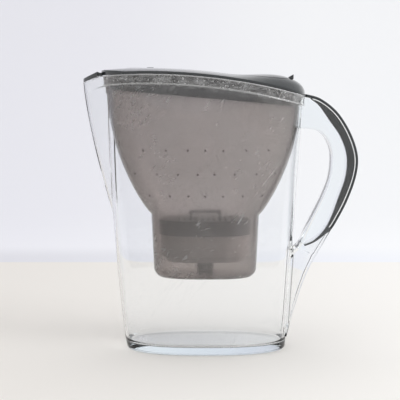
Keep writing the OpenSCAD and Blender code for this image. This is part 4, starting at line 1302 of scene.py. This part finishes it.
def make_spout_flap(material):
    """The flap over the spout: its plan follows the beak and its underside the rim."""
    count, w, tip = 40, SPOUT_W / 2 - 1, TOP_FRONT_X - SPOUT_REACH
    root, top_z = SPOUT_HINGE_X + SEAT_GAP, SPOUT_HINGE_Z + SPOUT_BARREL_D / 2
    low_z, high_z = RIM_H - 40, RIM_H + 40

    def rim_at(x):
        return bend_z(x, RIM_H) - SPOUT_DIP * (TOP_FRONT_X - x) / SPOUT_REACH + SEAT_GAP

    plan = []
    for k in range(-count, count + 1):
        plan.append((TOP_FRONT_X - SPOUT_REACH * (1 - abs(k / count) ** BEAK_POWER), w * k / count))
    ob = skin("spout_flap_moulded", [[(x, y, z) for x, y in plan] for z in (low_z, high_z)])
    front = tip - OVER
    side = [
        (front, rim_at(front)),
        (root, rim_at(root)),
        (root, top_z),
        (front, rim_at(tip) + SPOUT_FLAP_T - SEAT_GAP),
    ]
    combine(ob, "INTERSECT", [prism("flap_side", side, SPOUT_W + 2 * OVER)])
    # Two notches clear the lid's ears
    notch_x, notch_y = SPOUT_HINGE_X - SPOUT_BARREL_D / 2 - SIDE_GAP, SPOUT_BARREL_L / 2
    notch_l, notch_w = 20, SPOUT_EAR_T + 2 * SIDE_GAP
    for s in (-1, 1):
        y = sorted((s * notch_y, s * (notch_y + notch_w)))
        combine(ob, "DIFFERENCE", [block("notch", (notch_x, y[0], low_z), (notch_x + notch_l, y[1], high_z))])
    rounded_edges(ob, 0.35)
    half = SPOUT_BARREL_L / 2
    reach = half + SIDE_GAP + SPOUT_PIN_L
    barrel = bar_y("spout_barrel", SPOUT_HINGE_X, SPOUT_HINGE_Z, SPOUT_BARREL_D, -half, half)
    pins = bar_y("spout_pins", SPOUT_HINGE_X, SPOUT_HINGE_Z, SPOUT_PIN_D, -reach, reach)
    combine(ob, "UNION", [barrel, pins])
    return finish_piece(ob, "spout_flap", ["spout_flap"], material)


# The change indicator


def make_indicator():
    """The change indicator's eight pieces."""
    # ABS without a polished mould: dark and even, and the cover duller than the case
    case = moulded_material("Dark ABS case, moulded satin", linear("222326"), 0.3, 0.6, 0.03)
    back = moulded_material("Dark ABS cover, eroded mould", linear("26272a"), 0.5, 0.4, 0.05)
    # Silicone: grey and soft to look at, with no sharp highlight
    rubber = moulded_material("Silicone button, moulded", linear("85898b"), 0.5, 0.3, 0.02)
    # Polycarbonate: all but colourless, with crisp reflections
    lens = clear_material(
        "Polycarbonate lens, polished", (0.97, 0.98, 0.98), 0.01, (0.95, 0.95, 0.95), ior=1.58, scratch=0.2
    )
    # A liquid crystal under its polariser: grey-green and glassy
    face = moulded_material("Liquid crystal panel, polarised", linear("a9b09f"), 0.12, 0.2, 0.002, 0.05)
    # Solder mask: green lacquer with a wet gloss
    board = moulded_material("Glass-fibre board, solder mask", linear("1d6b41"), 0.3, 0.35, 0.02, coat=0.4)
    # Metals: brushed lines that draw the highlight out, steel grey and bronze a warm yellow
    steel = metal_material("Stainless steel, brushed", linear("c6c6c8"), 0.25, 0.3)
    bronze = metal_material("Phosphor bronze, bright", linear("d8b56a"), 0.18, 0.2)
    softened("indicator_case", "indicator_case_moulded", 0.4, "lid", case)
    softened("indicator_back", "indicator_back_cover", 0.2, "lid", back)
    softened("indicator_lens", "indicator_lens_clear", 0.15, "lid", lens)
    softened("indicator_display", "indicator_display_panel", 0.1, "lid", face)
    softened("indicator_board", "indicator_board_disc", 0.08, "lid", board)
    softened("coin_cell", "coin_cell_can", 0.4, "lid", steel)
    softened("cell_contact", "cell_contact_strip", 0.05, "lid", bronze)
    softened("start_button", "start_button_cap", 0.5, "start_button", rubber)


# The stage


# Metres from the pitcher's middle, and the camera's tilt in degrees
TABLE_FRONT, TABLE_BACK, COVE_START, COVE_R = -3.0, 0.50, 1.0, 1.2
WALL_TOP, HALF_WIDE, FOOT_GAP = 3.0, 4.0, 0.0002
CAMERA_AT, CAMERA_DOWN = (-0.0193, -0.964, 0.240), 4.67
# The focal length as a share of the picture's width, and how far the picture is shifted
FOCAL_SHARE, SENSOR_W, SHIFT = 1010.3 / 400, 36, -0.05
LAMPS = [
    ("Window right", (1.7, -0.7, 1.2), (0, 0, 0.15), 1.0, 12.5),
    ("Ceiling", (0.2, 0.1, 2.2), (0, 0, 0.1), 1.8, 8.0),
]


def paint_material():
    """Matt paint: a table top, and behind its edge a wall, greyer at its foot with a painted shadow; painted
    shade makes both darker on their left half.
    """
    tints = colours()
    material, tree = new_material("Table top and wall, matt paint")
    place = add(tree, "ShaderNodeTexCoord").outputs["Object"]
    axes = add(tree, "ShaderNodeSeparateXYZ", {0: place}).outputs
    # The axis along which one tint gives way to the next, where it does, and how softly, in metres: painted
    # shade from the darker left to the brighter right, the painted shadow behind the table's edge, and the
    # wall beyond it
    steps = [
        (axes[0], 0.0, 0.35),
        (axes[1], TABLE_BACK, 0.004),
        (axes[1], TABLE_BACK + 0.1, 0.07),
    ]
    side, foot, wall = (
        add(
            tree,
            "ShaderNodeMapRange",
            {"Value": axis, "From Min": at - soft, "From Max": at + soft},
            interpolation_type="SMOOTHSTEP",
        )
        for axis, at, soft in steps
    )
    # Each left tint is darker than its right one: painted shade, as if the light came from the right
    pairs = [(tints.floor_left_painted_shade, tints.floor), (tints.gap_left_painted_shadow, tints.gap), (tints.wall_left_painted_shade, tints.wall)]
    table, gap, paint = (
        add(tree, "ShaderNodeMix", {0: side, 6: (*left, 1), 7: (*right, 1)}, data_type="RGBA").outputs[2]
        for left, right in pairs
    )
    far = add(tree, "ShaderNodeMix", {0: foot, 6: table, 7: gap}, data_type="RGBA").outputs[2]
    whole = add(tree, "ShaderNodeMix", {0: wall, 6: far, 7: paint}, data_type="RGBA").outputs[2]
    matt = {"Base Color": whole, "Roughness": 0.9, "Specular IOR Level": 0.2}
    shader = add(tree, "ShaderNodeBsdfPrincipled", matt)
    add(tree, "ShaderNodeOutputMaterial", {"Surface": shader})
    return material


def make_backdrop():
    """The table and the far wall as one sheet, with a wide cove between them."""
    profile = [(TABLE_FRONT, 0.0), (COVE_START, 0.0)]
    for q in quarter(16)[1:]:
        profile.append((COVE_START + COVE_R * math.sin(q), COVE_R * (1 - math.cos(q))))
    profile.append((COVE_START + COVE_R, WALL_TOP))
    mesh = bpy.data.meshes.new("backdrop")
    verts = [(x, y, z - FOOT_GAP) for y, z in profile for x in (-HALF_WIDE, HALF_WIDE)]
    mesh.from_pydata(verts, [], [(2 * i, 2 * i + 1, 2 * i + 3, 2 * i + 2) for i in range(len(profile) - 1)])
    mesh.materials.append(paint_material())
    mesh.polygons.foreach_set("use_smooth", [True] * len(mesh.polygons))
    floor = bpy.data.objects.new("backdrop", mesh)
    bpy.context.scene.collection.objects.link(floor)


def make_stage():
    """Table, wall, daylight, two lamps and the camera."""
    scene = bpy.context.scene
    make_backdrop()
    world = bpy.data.worlds.new("Soft daylight")
    world.use_nodes = True
    world.node_tree.nodes.clear()
    light = add(world.node_tree, "ShaderNodeBackground", {"Color": (0.97, 0.985, 1.0, 1), "Strength": 0.75})
    add(world.node_tree, "ShaderNodeOutputWorld", {0: light})
    scene.world = world
    for name, at, aim, size, power in LAMPS:
        lamp = bpy.data.lights.new(name, "AREA")
        lamp.shape, lamp.size, lamp.energy = "SQUARE", size, power
        ob = bpy.data.objects.new(name, lamp)
        ob.location = at
        way = np.array(aim) - np.array(at)
        tilt = math.atan2(math.hypot(way[0], way[1]), -way[2])
        ob.rotation_euler = (tilt, 0, math.atan2(way[1], way[0]) - math.pi / 2)
        scene.collection.objects.link(ob)
    # From the side, a little above the middle, about a metre away
    camera = bpy.data.cameras.new("Camera")
    camera.lens, camera.sensor_width, camera.shift_y = FOCAL_SHARE * SENSOR_W, SENSOR_W, SHIFT
    eye = bpy.data.objects.new("Camera", camera)
    eye.location = CAMERA_AT
    eye.rotation_euler = (math.radians(90 - CAMERA_DOWN), 0, 0)
    scene.collection.objects.link(eye)
    scene.camera = eye
    scene.view_settings.view_transform = "Standard"


# Operators and panel


class PITCHER_OT_jug(bpy.types.Operator):
    """Build the clear jug with its spout and handle"""

    bl_idname = "pitcher.jug"
    bl_label = "Clear jug"

    def execute(self, context):
        make_jug()
        return {"FINISHED"}


class PITCHER_OT_grip(bpy.types.Operator):
    """Build the dark grip in the handle's channel"""

    bl_idname = "pitcher.grip"
    bl_label = "Grip"

    def execute(self, context):
        make_grip()
        return {"FINISHED"}


class PITCHER_OT_funnel(bpy.types.Operator):
    """Build the smoked funnel and its pips"""

    bl_idname = "pitcher.funnel"
    bl_label = "Funnel"

    def execute(self, context):
        make_funnel()
        return {"FINISHED"}


class PITCHER_OT_cartridge(bpy.types.Operator):
    """Build the filter cartridge"""

    bl_idname = "pitcher.cartridge"
    bl_label = "Cartridge"

    def execute(self, context):
        make_cartridge()
        return {"FINISHED"}


class PITCHER_OT_lid(bpy.types.Operator):
    """Build the lid, its flip lid and its spout flap"""

    bl_idname = "pitcher.lid"
    bl_label = "Lid"

    def execute(self, context):
        make_lid()
        return {"FINISHED"}


class PITCHER_OT_indicator(bpy.types.Operator):
    """Build the change indicator"""

    bl_idname = "pitcher.indicator"
    bl_label = "Change indicator"

    def execute(self, context):
        make_indicator()
        return {"FINISHED"}


class PITCHER_OT_stage(bpy.types.Operator):
    """Build the table, wall, lights and camera"""

    bl_idname = "pitcher.stage"
    bl_label = "Stage"

    def execute(self, context):
        make_stage()
        return {"FINISHED"}


OPERATORS = [
    PITCHER_OT_jug,
    PITCHER_OT_grip,
    PITCHER_OT_funnel,
    PITCHER_OT_cartridge,
    PITCHER_OT_lid,
    PITCHER_OT_indicator,
    PITCHER_OT_stage,
]


class PITCHER_PT_panel(bpy.types.Panel):
    """Sizes, colours and building steps of the pitcher."""

    bl_label = "Pitcher"
    bl_idname = "PITCHER_PT_panel"
    bl_space_type = "VIEW_3D"
    bl_region_type = "UI"
    bl_category = "Pitcher"

    def draw(self, context):
        for group in (context.scene.pitcher_sizes, context.scene.pitcher_colours):
            box = self.layout.box()
            for key in group.bl_rna.properties.keys():
                if key not in ("rna_type", "name"):
                    box.prop(group, key)
        for op in OPERATORS:
            self.layout.operator(op.bl_idname)


CLASSES = [PitcherColours, PitcherSizes, *OPERATORS, PITCHER_PT_panel]


def register():
    for cls in CLASSES:
        bpy.utils.register_class(cls)
    bpy.types.Scene.pitcher_sizes = bpy.props.PointerProperty(type=PitcherSizes)
    bpy.types.Scene.pitcher_colours = bpy.props.PointerProperty(type=PitcherColours)


def unregister():
    del bpy.types.Scene.pitcher_sizes
    del bpy.types.Scene.pitcher_colours
    for cls in reversed(CLASSES):
        bpy.utils.unregister_class(cls)


def main():
    """Builds every piece and the stage."""
    register()
    bpy.ops.pitcher.jug()
    bpy.ops.pitcher.grip()
    bpy.ops.pitcher.funnel()
    bpy.ops.pitcher.cartridge()
    bpy.ops.pitcher.lid()
    bpy.ops.pitcher.indicator()
    bpy.ops.pitcher.stage()


if __name__ == "__main__":
    main()
